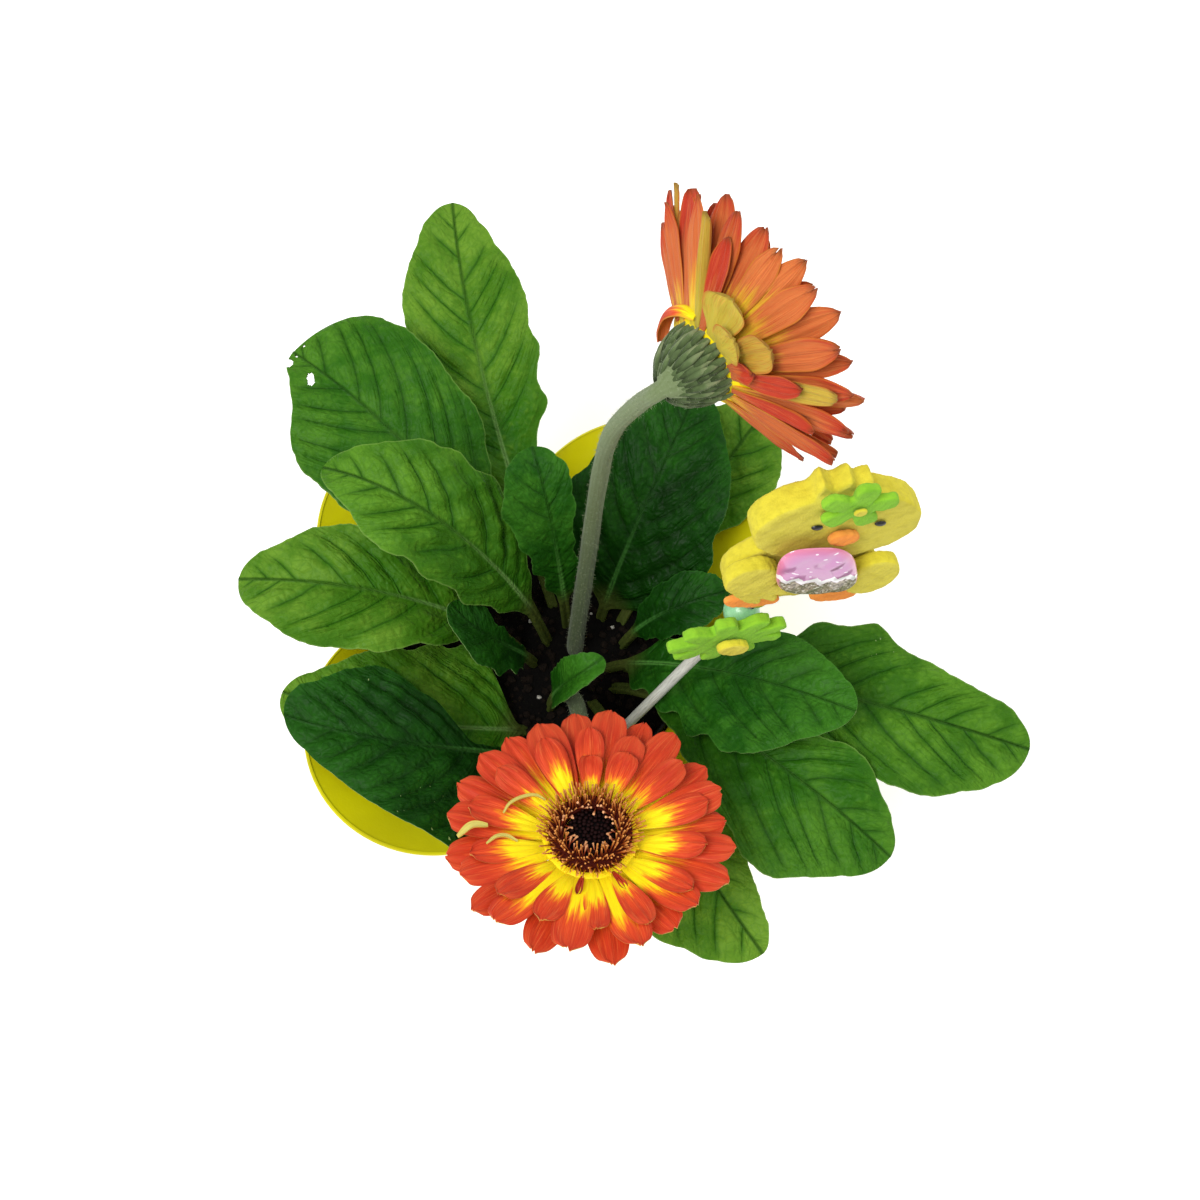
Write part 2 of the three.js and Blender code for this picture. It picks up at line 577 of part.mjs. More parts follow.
// The scape and the green cup on top of it, with its narrow bracts.
function scape(name, bloom) {
  const { cupRadius, cupDepth, cupSteps, cupShares, hubThickness, bractRadius, bractTip, bractRows } = HEAD;
  const facing = new THREE.Vector3(...bloom.facing).normalize();
  const top = new THREE.Vector3(...bloom.centre).addScaledVector(facing, -hubThickness - GAP);
  const neck = top.clone().addScaledVector(facing, -cupDepth);
  const curve = new THREE.CatmullRomCurve3([...bloom.way.map((p) => new THREE.Vector3(...p)), neck,
    neck.clone().lerp(top, 0.5), top]);
  const length = curve.getLength();
  const { radiusFoot, radiusTop, sides, steps } = STEM;
  const shares = [...Array.from({ length: steps }, (_, i) => (i / steps) * (1 - cupDepth / length)),
    ...cupSteps.map((t) => 1 - (cupDepth / length) * (1 - t))];
  let left = new THREE.Vector3(1, 0, 0);
  const rings = shares.map((u, i) => {
    const frame = frameAt(curve, u, left);
    left = frame.left;
    const radius = i < steps
      ? THREE.MathUtils.lerp(radiusFoot, radiusTop, i / steps)
      : cupRadius * cupShares[i - steps];
    return Array.from({ length: sides }, (_, k) => {
      const angle = (k / sides) * 2 * Math.PI;
      return beside(frame, radius * Math.cos(angle), radius * Math.sin(angle));
    });
  });
  const head = headFrame(bloom);
  const bracts = bractRows.flatMap(({ count, depth, radius, length: reach, spread }, row) =>
    Array.from({ length: count }, (_, i) => {
      const angle = ((i + row / 2) / count) * 2 * Math.PI;
      const low = -hubThickness - GAP - depth;
      const place = (r, z) => new THREE.Vector3(r * Math.cos(angle), r * Math.sin(angle), z).applyMatrix4(head);
      const tip = place(radius + reach * Math.sin(spread * DEG), low + reach * Math.cos(spread * DEG));
      return rod(place(radius, low), tip, bractRadius, 3, bractTip);
    }));
  return {
    mesh: part(name, joined([loft(rings), ...bracts]), FINISH.stem),
    hole: holeAlong(curve, radiusFoot + GAP, new THREE.Vector3(1, 0, 0)),
  };
}

// ---- chick on a stick ---------------------------------------------------------------------------

// The chick's own frame is X across it, Y up it and Z out of its face.
const CHICK = {
  centre: [77, -9, 192], across: [0.945, 0.155, -0.286], upward: [0.259, 0.175, 0.95],
  stickRadius: 1.75,
  stickFoot: [19, -35.5, 67], // in the whole part's frame
  stickTop: [-5.5, -7, 3],
};

// The belly, the head and the tufted crest are one piece of felt.
const BODY = {
  belly: [-2.5, -1, 22.5, 16], bellyDepth: 6,
  head: [-2, 24, 24, 16], headDepth: 8.4,
  crest: [[-15, 36], [-14, 43.5], [-9.5, 41], [-6.5, 45], [-3, 41.5], [0.5, 44], [3, 36]], crestDepth: 7.2,
};

// The flat pieces on it and their depths in the chick's frame.
//   oval: [x, y, half width, half height]
//   flower: [x, y, radius, petals, depth of the cuts, height over width, tilt in degrees]
const FELT = {
  chick_wing_left: { oval: [-18.8, 1, 8.4, 8], from: 6.4, to: 11, finish: "yellowFelt" },
  chick_wing_right: { oval: [17.6, 0.8, 8, 9], from: 6.4, to: 11, finish: "yellowFelt" },
  chick_foot_left: { oval: [-13, -15, 8.5, 4], from: 6.4, to: 8.4, finish: "orangeFelt" },
  chick_foot_right: { oval: [12, -13.5, 7.5, 4], from: 6.4, to: 8.4, finish: "orangeFelt" },
  chick_egg: { oval: [-3.2, 9.3, 11.6, 12.2], from: 11.4, to: 14.5, finish: "pinkGloss" },
  chick_beak: { oval: [-0.4, 22.6, 4.4, 3.2], from: 8.8, to: 11.1, finish: "orangeFelt" },
  chick_eye_left: { oval: [-9.5, 26.5, 1.7, 1.3], from: 8.8, to: 9.6, finish: "eye" },
  chick_eye_right: { oval: [8.6, 27.5, 1.7, 1.3], from: 8.8, to: 9.6, finish: "eye" },
  head_flower: { flower: [-3, 37.4, 11, 5, 0.55, 1, 0], from: 8.8, to: 11.5, finish: "greenFelt" },
  head_flower_centre: { oval: [-3, 37.4, 2.6, 2.2], from: 11.8, to: 13.4, finish: "yellowFelt" },
  stick_flower: { flower: [-16, -27.7, 17.5, 9, 0.3, 0.6, 20], from: 8.7, to: 12.4, finish: "greenFelt" },
  stick_flower_centre: { oval: [-15, -27.5, 4.8, 3.6], from: 12.7, to: 15.4, finish: "yellowFelt" },
};

const BEADS = {
  bead_mint: { up: -31, radius: 5.4, finish: "greenBead" },
  bead_yellow: { up: -21.2, radius: 3.6, finish: "yellowFelt" },
};

// A flat cut-out between two depths, from its outline.
function cutOut(outline, from, to) {
  return new THREE.ExtrudeGeometry(new THREE.Shape(outline.map(([x, y]) => new THREE.Vector2(x, y))),
    { depth: to - from, bevelEnabled: false }).translate(0, 0, from);
}

function ovalOutline([x, y, halfWidth, halfHeight], count = halfWidth > 6 ? 16 : 10) {
  return Array.from({ length: count }, (_, i) => {
    const angle = (i / count) * 2 * Math.PI;
    return [x + halfWidth * Math.cos(angle), y + halfHeight * Math.sin(angle)];
  });
}

function flowerOutline([x, y, radius, petalCount, depth, flatness, tilt]) {
  const count = petalCount * 6;
  const [c, s] = [Math.cos(tilt * DEG), Math.sin(tilt * DEG)];
  return Array.from({ length: count }, (_, i) => {
    const angle = (i / count) * 2 * Math.PI;
    const r = radius * (1 - depth * (0.5 - 0.5 * Math.cos(petalCount * angle)) ** 1.5);
    const [across, up] = [r * Math.sin(angle), r * Math.cos(angle) * flatness];
    return [x + across * c - up * s, y + across * s + up * c];
  });
}

// The chick, its flowers and beads, and the stick they are on. The stick stands in the soil.
function chick() {
  const y = new THREE.Vector3(...CHICK.upward).normalize();
  const z = new THREE.Vector3(...CHICK.across).cross(y).normalize();
  const frame = new THREE.Matrix4().makeBasis(new THREE.Vector3().crossVectors(y, z), y, z)
    .setPosition(...CHICK.centre);
  const foot = new THREE.Vector3(...CHICK.stickFoot);
  const top = new THREE.Vector3(...CHICK.stickTop).applyMatrix4(frame);
  const along = (share) => new THREE.Vector3().lerpVectors(foot, top, share);
  const bore = (share) =>
    solidOf(rod(along(-0.05), along(share), CHICK.stickRadius + GAP / Math.cos(Math.PI / 10)));

  const felt = [
    cutOut(ovalOutline(BODY.belly, 24), 0, BODY.bellyDepth),
    cutOut(ovalOutline(BODY.head, 26), 0, BODY.headDepth),
    cutOut(BODY.crest, 0, BODY.crestDepth),
  ].map((piece) => piece.applyMatrix4(frame));
  const body = joined(felt).subtract(bore(1.004));

  const pieces = Object.entries(FELT).map(([name, { oval, flower, from, to, finish: kind }]) => {
    const outline = oval ? ovalOutline(oval) : flowerOutline(flower);
    return part(name, cutOut(outline, from, to).applyMatrix4(frame), FINISH[kind]);
  });
  const beads = Object.entries(BEADS).map(([name, { up, radius, finish: kind }]) => {
    const aim = new THREE.Vector3(CHICK.stickTop[0], up, 0).applyMatrix4(frame);
    const way = new THREE.Vector3().subVectors(top, foot);
    const share = aim.sub(foot).dot(way) / way.lengthSq();
    const sphere = new THREE.SphereGeometry(radius, 9, 5).rotateX(Math.PI / 2);
    const ball = solidOf(sphere.translate(...along(share)));
    return part(name, largestBody(ball.subtract(bore(1.01))), FINISH[kind]);
  });
  const stick = part("stick", rod(foot, top, CHICK.stickRadius), FINISH.stick);
  return {
    meshes: [stick, part("chick_body", body, FINISH.yellowFelt), ...pieces, ...beads],
    hole: rod(along(-0.002), along(0.16), CHICK.stickRadius + GAP / Math.cos(Math.PI / 8), 8),
  };
}

// ---- assembly -----------------------------------------------------------------------------------

const gerbera = new THREE.Group();
const leaves = Object.entries(LEAVES).map(([name, spec]) => leaf(name, spec));
const scapes = Object.entries(BLOOMS).map(([name, bloom]) => scape(`scape_${name}`, bloom));
const ornament = chick();
gerbera.add(potCover(), nurseryPot(), soil([...leaves, ...scapes, ornament].map(({ hole }) => hole)));
gerbera.add(...[...leaves, ...scapes].map(({ mesh }) => mesh), ...ornament.meshes);
for (const [name, bloom] of Object.entries(BLOOMS)) {
  gerbera.add(petals(`petals_${name}`, bloom));
  gerbera.add(floretRing(`florets_${name}`, bloom), eye(`eye_${name}`, bloom));
}

export default gerbera;
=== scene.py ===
"""Looks for a potted gerbera: a lobed pot cover, a rosette, two blooms and a felt chick on a stick.

Shapes are drawn in millimetres and finished in metres. +Z is up and the front is -Y. The named sizes
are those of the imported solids, so every piece lies where its solid lies.
"""

import sys

import logging
import math
from collections.abc import Sequence
from dataclasses import dataclass, field, replace
from enum import Enum
from functools import cache
from typing import Any

import bmesh
import bpy
import numpy as np
from mathutils import Matrix, Vector


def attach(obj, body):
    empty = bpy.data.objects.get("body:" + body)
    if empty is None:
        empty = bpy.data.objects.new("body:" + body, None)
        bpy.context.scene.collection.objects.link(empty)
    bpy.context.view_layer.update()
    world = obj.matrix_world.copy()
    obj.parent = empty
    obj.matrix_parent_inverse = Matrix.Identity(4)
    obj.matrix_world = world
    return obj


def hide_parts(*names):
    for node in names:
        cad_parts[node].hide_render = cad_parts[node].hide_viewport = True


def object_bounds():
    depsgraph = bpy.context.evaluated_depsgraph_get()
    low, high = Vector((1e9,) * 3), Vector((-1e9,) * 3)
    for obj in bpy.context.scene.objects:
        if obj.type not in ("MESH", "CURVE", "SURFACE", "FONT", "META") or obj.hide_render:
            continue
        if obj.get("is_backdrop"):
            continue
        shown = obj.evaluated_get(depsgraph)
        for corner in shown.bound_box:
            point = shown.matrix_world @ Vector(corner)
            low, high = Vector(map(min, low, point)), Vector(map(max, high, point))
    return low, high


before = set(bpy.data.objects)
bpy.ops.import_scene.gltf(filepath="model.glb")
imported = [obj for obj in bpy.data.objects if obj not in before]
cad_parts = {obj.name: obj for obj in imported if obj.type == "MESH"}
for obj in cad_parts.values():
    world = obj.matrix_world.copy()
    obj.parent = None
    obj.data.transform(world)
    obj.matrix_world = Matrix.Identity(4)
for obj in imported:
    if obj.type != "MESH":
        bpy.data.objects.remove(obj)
CAD_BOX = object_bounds()

MM = 0.001
GAP = 0.3
SOIL_TOP = 75.0
CROWN = np.array([10.0, -2.0, SOIL_TOP])
ROOT_DEPTH = 9.0
HUB_THICKNESS = 4.0
HAIR_RADIUS = 0.045
GOLDEN_STEP = math.pi * (3 - math.sqrt(5))
RIGHT, UP = np.array([1.0, 0, 0]), np.array([0, 0, 1.0])

Mesh, Thing, Material = bpy.types.Mesh, bpy.types.Object, bpy.types.Material

log = logging.getLogger("gerbera")


# ---- numbers ----


def unit(vector: Sequence[float]) -> np.ndarray:
    """The vector at length one."""
    made = np.asarray(vector, float)
    return made / np.linalg.norm(made, axis=-1, keepdims=True)


def blend(first: Any, second: Any, share: Any) -> Any:
    """A value between two others."""
    return first + (second - first) * share


def ease(low: float, high: float, value: Any) -> Any:
    """0 below low and 1 above high, smoothly between them."""
    t = np.clip((value - low) / (high - low), 0, 1)
    return t * t * (3 - 2 * t)


def bell(value: Any, width: float) -> Any:
    """1 where the value is nothing, falling to nothing past the width on both sides."""
    return np.exp(-((value / width) ** 2))


def chance(index: float, stream: float) -> float:
    """A repeatable number from 0 to 1 for each index and stream."""
    value = math.sin(index * 127.1 + stream * 311.7) * 43758.5453
    return value - math.floor(value)


def wander(first: Any, second: Any, seed: float) -> Any:
    """A smooth uneven field of two numbers, from about -1 to 1."""
    slow = np.sin(first + 1.7 * seed) * np.cos(1.31 * second + 0.6 * seed)
    fast = np.sin(1.93 * first - 1.17 * second + 2.3 * seed)
    return 0.55 * slow + 0.45 * fast


def around(count: int) -> np.ndarray:
    """Evenly spaced angles of one whole turn, in radians."""
    return np.arange(count) / count * 2 * math.pi


def circle(angle: Any, radius: Any, height: Any) -> np.ndarray:
    """Points at these angles round Z, each at its radius and height."""
    return np.stack(np.broadcast_arrays(radius * np.cos(angle), radius * np.sin(angle), height), -1)


def turned(flat: np.ndarray, degrees: float, x: float, y: float) -> np.ndarray:
    """Flat points turned about their middle and then shifted."""
    c, s = math.cos(math.radians(degrees)), math.sin(math.radians(degrees))
    across, upward = flat[..., 0], flat[..., 1]
    return np.stack([x + across * c - upward * s, y + across * s + upward * c], -1)


def between(stations: Sequence[float], values: Sequence[float], s: np.ndarray) -> np.ndarray:
    """Values at the shares s of a list kept at stations, smoothly joined.

    Args:
        stations: Where the values are kept, in rising order.
        values: One value for each station.
        s: Where they are wanted.

    Returns:
        One value for each s.
    """
    marks, kept = np.asarray(stations, float), np.asarray(values, float)
    i = np.searchsorted(marks[1:-1], s, side="left")
    t = (s - marks[i]) / (marks[i + 1] - marks[i])
    a, b, c, d = (kept[np.clip(i + k, 0, len(kept) - 1)] for k in (-1, 0, 1, 2))
    return b + 0.5 * t * (c - a + t * (2 * a - 5 * b + 4 * c - d + t * (3 * (b - c) + d - a)))


# ---- curves and meshes ----


@dataclass
class Frames:
    """Frames along a curve: where they are, forward, left and up, one row for each."""

    origin: np.ndarray
    forward: np.ndarray
    left: np.ndarray
    up: np.ndarray

    def beside(self, left: np.ndarray, up: np.ndarray) -> np.ndarray:
        """Points beside the frames, a row of them for each frame."""
        shift = self.left[:, None] * left[..., None]
        return self.origin[:, None] + shift + self.up[:, None] * up[..., None]

    def rings(self, angle: np.ndarray, radius: np.ndarray) -> np.ndarray:
        """Rings of points round the frames."""
        return self.beside(radius * np.cos(angle), radius * np.sin(angle))


@dataclass
class Path:
    """A curve known by many points along it, and read by its share of length."""

    points: np.ndarray
    shares: np.ndarray = field(init=False)
    length: float = field(init=False)

    def __post_init__(self) -> None:
        """Measures the curve."""
        steps = np.linalg.norm(np.diff(self.points, axis=0), axis=1)
        run = np.concatenate([[0.0], np.cumsum(steps)])
        self.length = float(run[-1])
        self.shares = run / run[-1]

    @classmethod
    def bezier(cls, corners: Sequence[np.ndarray], count: int = 900) -> "Path":
        """A cubic curve from its two ends and two handles."""
        t = np.linspace(0, 1, count)[:, None]
        a, b, c, d = corners
        return cls((1 - t) ** 3 * a + 3 * (1 - t) ** 2 * t * b + 3 * (1 - t) * t * t * c + t**3 * d)

    @classmethod
    def through(cls, knots: Sequence[Sequence[float]], count: int = 120) -> "Path":
        """A smooth curve through points, its bends eased by how far apart they are.

        Args:
            knots: The points.
            count: Samples for each span.

        Returns:
            The curve.
        """
        marks = [np.asarray(knot, float) for knot in knots]
        marks = [2 * marks[0] - marks[1], *marks, 2 * marks[-1] - marks[-2]]
        t = np.linspace(0, 1, count, endpoint=False)[:, None]
        spans = []
        for p0, p1, p2, p3 in zip(marks, marks[1:], marks[2:], marks[3:]):
            d0, d1, d2 = (math.sqrt(np.linalg.norm(q - p)) for p, q in ((p0, p1), (p1, p2), (p2, p3)))
            m1 = ((p1 - p0) / d0 - (p2 - p0) / (d0 + d1) + (p2 - p1) / d1) * d1
            m2 = ((p2 - p1) / d1 - (p3 - p1) / (d1 + d2) + (p3 - p2) / d2) * d1
            bend = (3 * (p2 - p1) - 2 * m1 - m2) * t**2
            spans.append(p1 + m1 * t + bend + (2 * (p1 - p2) + m1 + m2) * t**3)
        return cls(np.concatenate([*spans, marks[-2][None]]))

    def at(self, share: np.ndarray) -> np.ndarray:
        """The points at these shares of the length."""
        return np.stack([np.interp(share, self.shares, self.points[:, k]) for k in range(3)], axis=-1)

    def forward(self, share: np.ndarray) -> np.ndarray:
        """The ways the curve runs at these shares."""
        step = 0.004
        return unit(self.at(np.clip(share + step, 0, 1)) - self.at(np.clip(share - step, 0, 1)))

    def frames(self, share: np.ndarray, wanted_left: np.ndarray) -> Frames:
        """Frames whose left is as near as can be to a wanted way."""
        forward = self.forward(share)
        up = unit(np.cross(forward, wanted_left))
        return Frames(self.at(share), forward, unit(np.cross(up, forward)), up)

    def carried_frames(self, share: np.ndarray, first_left: np.ndarray) -> Frames:
        """Frames that turn as little as can be from one to the next."""
        forward = self.forward(share)
        left = np.zeros_like(forward)
        last = first_left
        for i, way in enumerate(forward):
            last = unit(last - way * np.dot(last, way))
            left[i] = last
        return Frames(self.at(share), forward, left, np.cross(forward, left))


class Draft:
    """A mesh in the making, in millimetres, with named values at its points."""

    def __init__(self) -> None:
        """Starts with nothing drawn."""
        self.points: list[np.ndarray] = []
        self.faces: list[tuple[int, ...]] = []
        self.values: dict[str, list[tuple[int, np.ndarray]]] = {}
        self.count = 0

    def add(self, points: np.ndarray, faces: Sequence[Sequence[int]], **values: Any) -> "Draft":
        """Adds points and faces between them.

        Args:
            points: One row for each point.
            faces: Indices into those points, anticlockwise seen from outside.
            values: Named numbers, one for each point or one for all.

        Returns:
            The draft itself, as after every shape drawn in it.
        """
        flat = points.reshape(-1, 3)
        self.faces += [tuple(int(k) + self.count for k in face) for face in faces]
        for name, value in values.items():
            spread = np.broadcast_to(np.asarray(value, float), points.shape[:-1]).reshape(-1)
            self.values.setdefault(name, []).append((self.count, spread))
        self.points.append(flat)
        self.count += len(flat)
        return self

    def slab(self, top: np.ndarray, bottom: np.ndarray, gone: Any = None, **values: Any) -> "Draft":
        """A thin closed body between two grids, rows along it and columns from right to left.

        Args:
            top: The upper grid of points.
            bottom: The lower grid of points.
            gone: Where a cell of the grid is a hole, or None for a whole grid.
            values: Named numbers for the grid, the same above and below.

        Returns:
            The draft itself.
        """
        rows, columns = top.shape[:2]
        upper = np.arange(rows * columns).reshape(rows, columns)
        corners = [upper[:-1, :-1], upper[1:, :-1], upper[1:, 1:], upper[:-1, 1:]]
        kept = np.ones((rows - 1, columns - 1), bool) if gone is None else ~gone
        margin = np.pad(kept, 1)
        beside = [margin[1:-1, :-2], margin[2:, 1:-1], margin[1:-1, 2:], margin[:-2, 1:-1]]
        below = upper.size
        quads = [np.stack(corners, -1)[kept], np.stack(corners[::-1], -1)[kept] + below]
        for first, second, neighbour in zip(corners, [*corners[1:], corners[0]], beside):
            wall = np.stack([first, first + below, second + below, second], -1)
            quads.append(wall[kept & ~neighbour])
        both = {k: np.stack([np.broadcast_to(v, top.shape[:2])] * 2) for k, v in values.items()}
        under = np.stack([np.zeros(top.shape[:2]), np.ones(top.shape[:2])])
        return self.add(np.stack([top, bottom]), np.concatenate(quads).tolist(), under=under, **both)

    def loft(self, rings: np.ndarray, **values: Any) -> "Draft":
        """A closed body through rings of points, each anticlockwise about the way it travels.

        Args:
            rings: Rings by points by three.
            values: Named numbers for the rings' points.

        Returns:
            The draft itself.
        """
        index = np.arange(rings.shape[0] * rings.shape[1]).reshape(rings.shape[:2])
        return self.add(rings, [*bands(index), index[0][::-1].tolist(), index[-1].tolist()], **values)

    def lathe(self, profile: Sequence[tuple[float, float]], sides: int, **values: Any) -> "Draft":
        """A closed profile of radius and height turned about Z, outside to the left of its travel.

        Args:
            profile: Points from one end on the axis to the other, or a loop clear of it.
            sides: Points round.
            values: Named numbers for all its points.

        Returns:
            The draft itself.
        """
        on_axis = profile[0][0] < 1e-6
        rows = np.array(profile[1:-1] if on_axis else profile, float)
        points = circle(around(sides), rows[:, :1], rows[:, 1:]).reshape(-1, 3)
        index = np.arange(len(points)).reshape(-1, sides)
        if not on_axis:
            return self.add(points, bands(np.concatenate([index, index[:1]])), **values)
        foot, top = len(points), len(points) + 1
        faces = bands(index)
        faces += [(foot, b, a) for a, b in zip(index[0], np.roll(index[0], -1))]
        faces += [(top, a, b) for a, b in zip(index[-1], np.roll(index[-1], -1))]
        points = np.concatenate([points, [[0, 0, profile[0][1]], [0, 0, profile[-1][1]]]])
        return self.add(points, faces, **values)

    def mesh(self, name: str, finish: "Finish | None" = None, crease: float = 45) -> Mesh:
        """The finished mesh in metres.

        Args:
            name: What to call it.
            finish: What it is made of, or nothing where that comes later.
            crease: Degrees between faces past which an edge stays sharp.

        Returns:
            The mesh.
        """
        made = bpy.data.meshes.new(name)
        made.from_pydata((np.concatenate(self.points) * MM).tolist(), [], self.faces)
        for key, stretches in self.values.items():
            whole = np.zeros(self.count, np.float32)
            for start, value in stretches:
                whole[start : start + len(value)] = value
            made.attributes.new(key, "FLOAT", "POINT").data.foreach_set("value", whole)
        if finish:
            made.materials.append(finish.material())
        used = np.zeros(self.count, bool)
        used[np.concatenate([np.ravel(face) for face in self.faces])] = True
        if not used.all():
            whole = bmesh.new()
            whole.from_mesh(made)
            bmesh.ops.delete(whole, geom=[v for v in whole.verts if not used[v.index]], context="VERTS")
            whole.to_mesh(made)
            whole.free()
        made.shade_smooth()
        made.set_sharp_from_angle(angle=math.radians(crease))
        made.update()
        return made


def bands(index: np.ndarray) -> list[list[int]]:
    """The faces between rings of points, given by the rings' numbers."""
    after = np.roll(index, -1, axis=1)
    return np.stack([index[:-1], after[:-1], after[1:], index[1:]], -1).reshape(-1, 4).tolist()


def linked(name: str, data: bpy.types.ID) -> Thing:
    """A new object in the scene that holds a mesh, a camera or a light."""
    made = bpy.data.objects.new(name, data)
    bpy.context.scene.collection.objects.link(made)
    return made


def settled(host: Thing) -> Mesh:
    """The mesh a host's modifiers make, with the host taken away."""
    graph = bpy.context.evaluated_depsgraph_get()
    shown = host.evaluated_get(graph)
    made = bpy.data.meshes.new_from_object(shown, preserve_all_data_layers=True, depsgraph=graph)
    made.name = host.name
    host.modifiers.clear()
    old = host.data
    bpy.data.objects.remove(host)
    bpy.data.meshes.remove(old)
    return made


def joined(name: str, meshes: Sequence[Mesh]) -> Mesh:
    """Several meshes as one, each face keeping its own material.

    Args:
        name: What to call the result.
        meshes: What to join. They are taken away afterwards.

    Returns:
        The joined mesh.
    """
    materials: list[Material] = []
    gathered = bmesh.new()
    for mesh in meshes:
        materials += [material for material in mesh.materials if material not in materials]
        places = [materials.index(material) for material in mesh.materials]
        old = np.zeros(len(mesh.polygons), np.int32)
        mesh.polygons.foreach_get("material_index", old)
        mesh.polygons.foreach_set("material_index", np.array(places, np.int32)[old])
        gathered.from_mesh(mesh)
    made = bpy.data.meshes.new(name)
    for material in materials:
        made.materials.append(material)
    gathered.to_mesh(made)
    gathered.free()
    for mesh in meshes:
        bpy.data.meshes.remove(mesh)
    return made


def moved(mesh: Mesh, matrix: Matrix) -> Mesh:
    """The mesh carried to its place by a matrix whose shift is in millimetres."""
    placed = matrix.copy()
    placed.translation *= MM
    mesh.transform(placed)
    return mesh


def present(mesh: Mesh, name: str, slot: str, node: str) -> Thing:
    """Puts a finished mesh into the part.

    Args:
        mesh: The mesh, in its place.
        name: The piece's name.
        slot: A material slot's name; not used.
        node: The solid it stands for.

    Returns:
        The piece.
    """
    piece = linked(name, mesh)
    mesh.name = name
    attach(piece, "root")
    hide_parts(node)
    return piece


# ---- nodes ----


@dataclass
class Value:
    """A value in a node tree, whose sums and products are nodes of that tree."""

    nodes: "Nodes"
    socket: bpy.types.NodeSocket

    def __add__(self, other: Any) -> "Value":
        """The sum of two values."""
        return self.nodes.math("ADD", self, other)

    def __sub__(self, other: Any) -> "Value":
        """The difference of two values."""
        return self.nodes.math("SUBTRACT", self, other)

    def __mul__(self, other: Any) -> "Value":
        """The product of two values."""
        return self.nodes.math("MULTIPLY", self, other)


class Nodes:
    """A node tree in the making, of a material or of Geometry Nodes."""

    def __init__(self, tree: bpy.types.NodeTree) -> None:
        """Takes the tree to draw in."""
        self.tree = tree

    def feed(self, node: bpy.types.Node, inputs: dict[Any, Any]) -> bpy.types.Node:
        """Sets a node's inputs by name or number, from values of the tree or plain ones."""
        for key, value in inputs.items():
            if isinstance(value, Value):
                self.tree.links.new(value.socket, node.inputs[key])
            else:
                node.inputs[key].default_value = value
        return node

    def node(self, kind: str, inputs: dict[Any, Any] | None = None, **settings: Any) -> bpy.types.Node:
        """A new node with these inputs and settings."""
        made = self.tree.nodes.new(kind)
        for key, value in settings.items():
            setattr(made, key, value)
        return self.feed(made, inputs or {})

    def out(self, kind: str, inputs: dict[Any, Any], output: int | str = 0, **settings: Any) -> Value:
        """One output of a new node."""
        return Value(self, self.node(kind, inputs, **settings).outputs[output])

    def math(self, operation: str, first: Any, second: Any = 0.0) -> Value:
        """The result of one sum."""
        return self.out("ShaderNodeMath", {0: first, 1: second}, operation=operation)

    def vector(self, x: Any, y: Any, z: Any = 0.0) -> Value:
        """A vector from its parts."""
        return self.out("ShaderNodeCombineXYZ", {0: x, 1: y, 2: z})


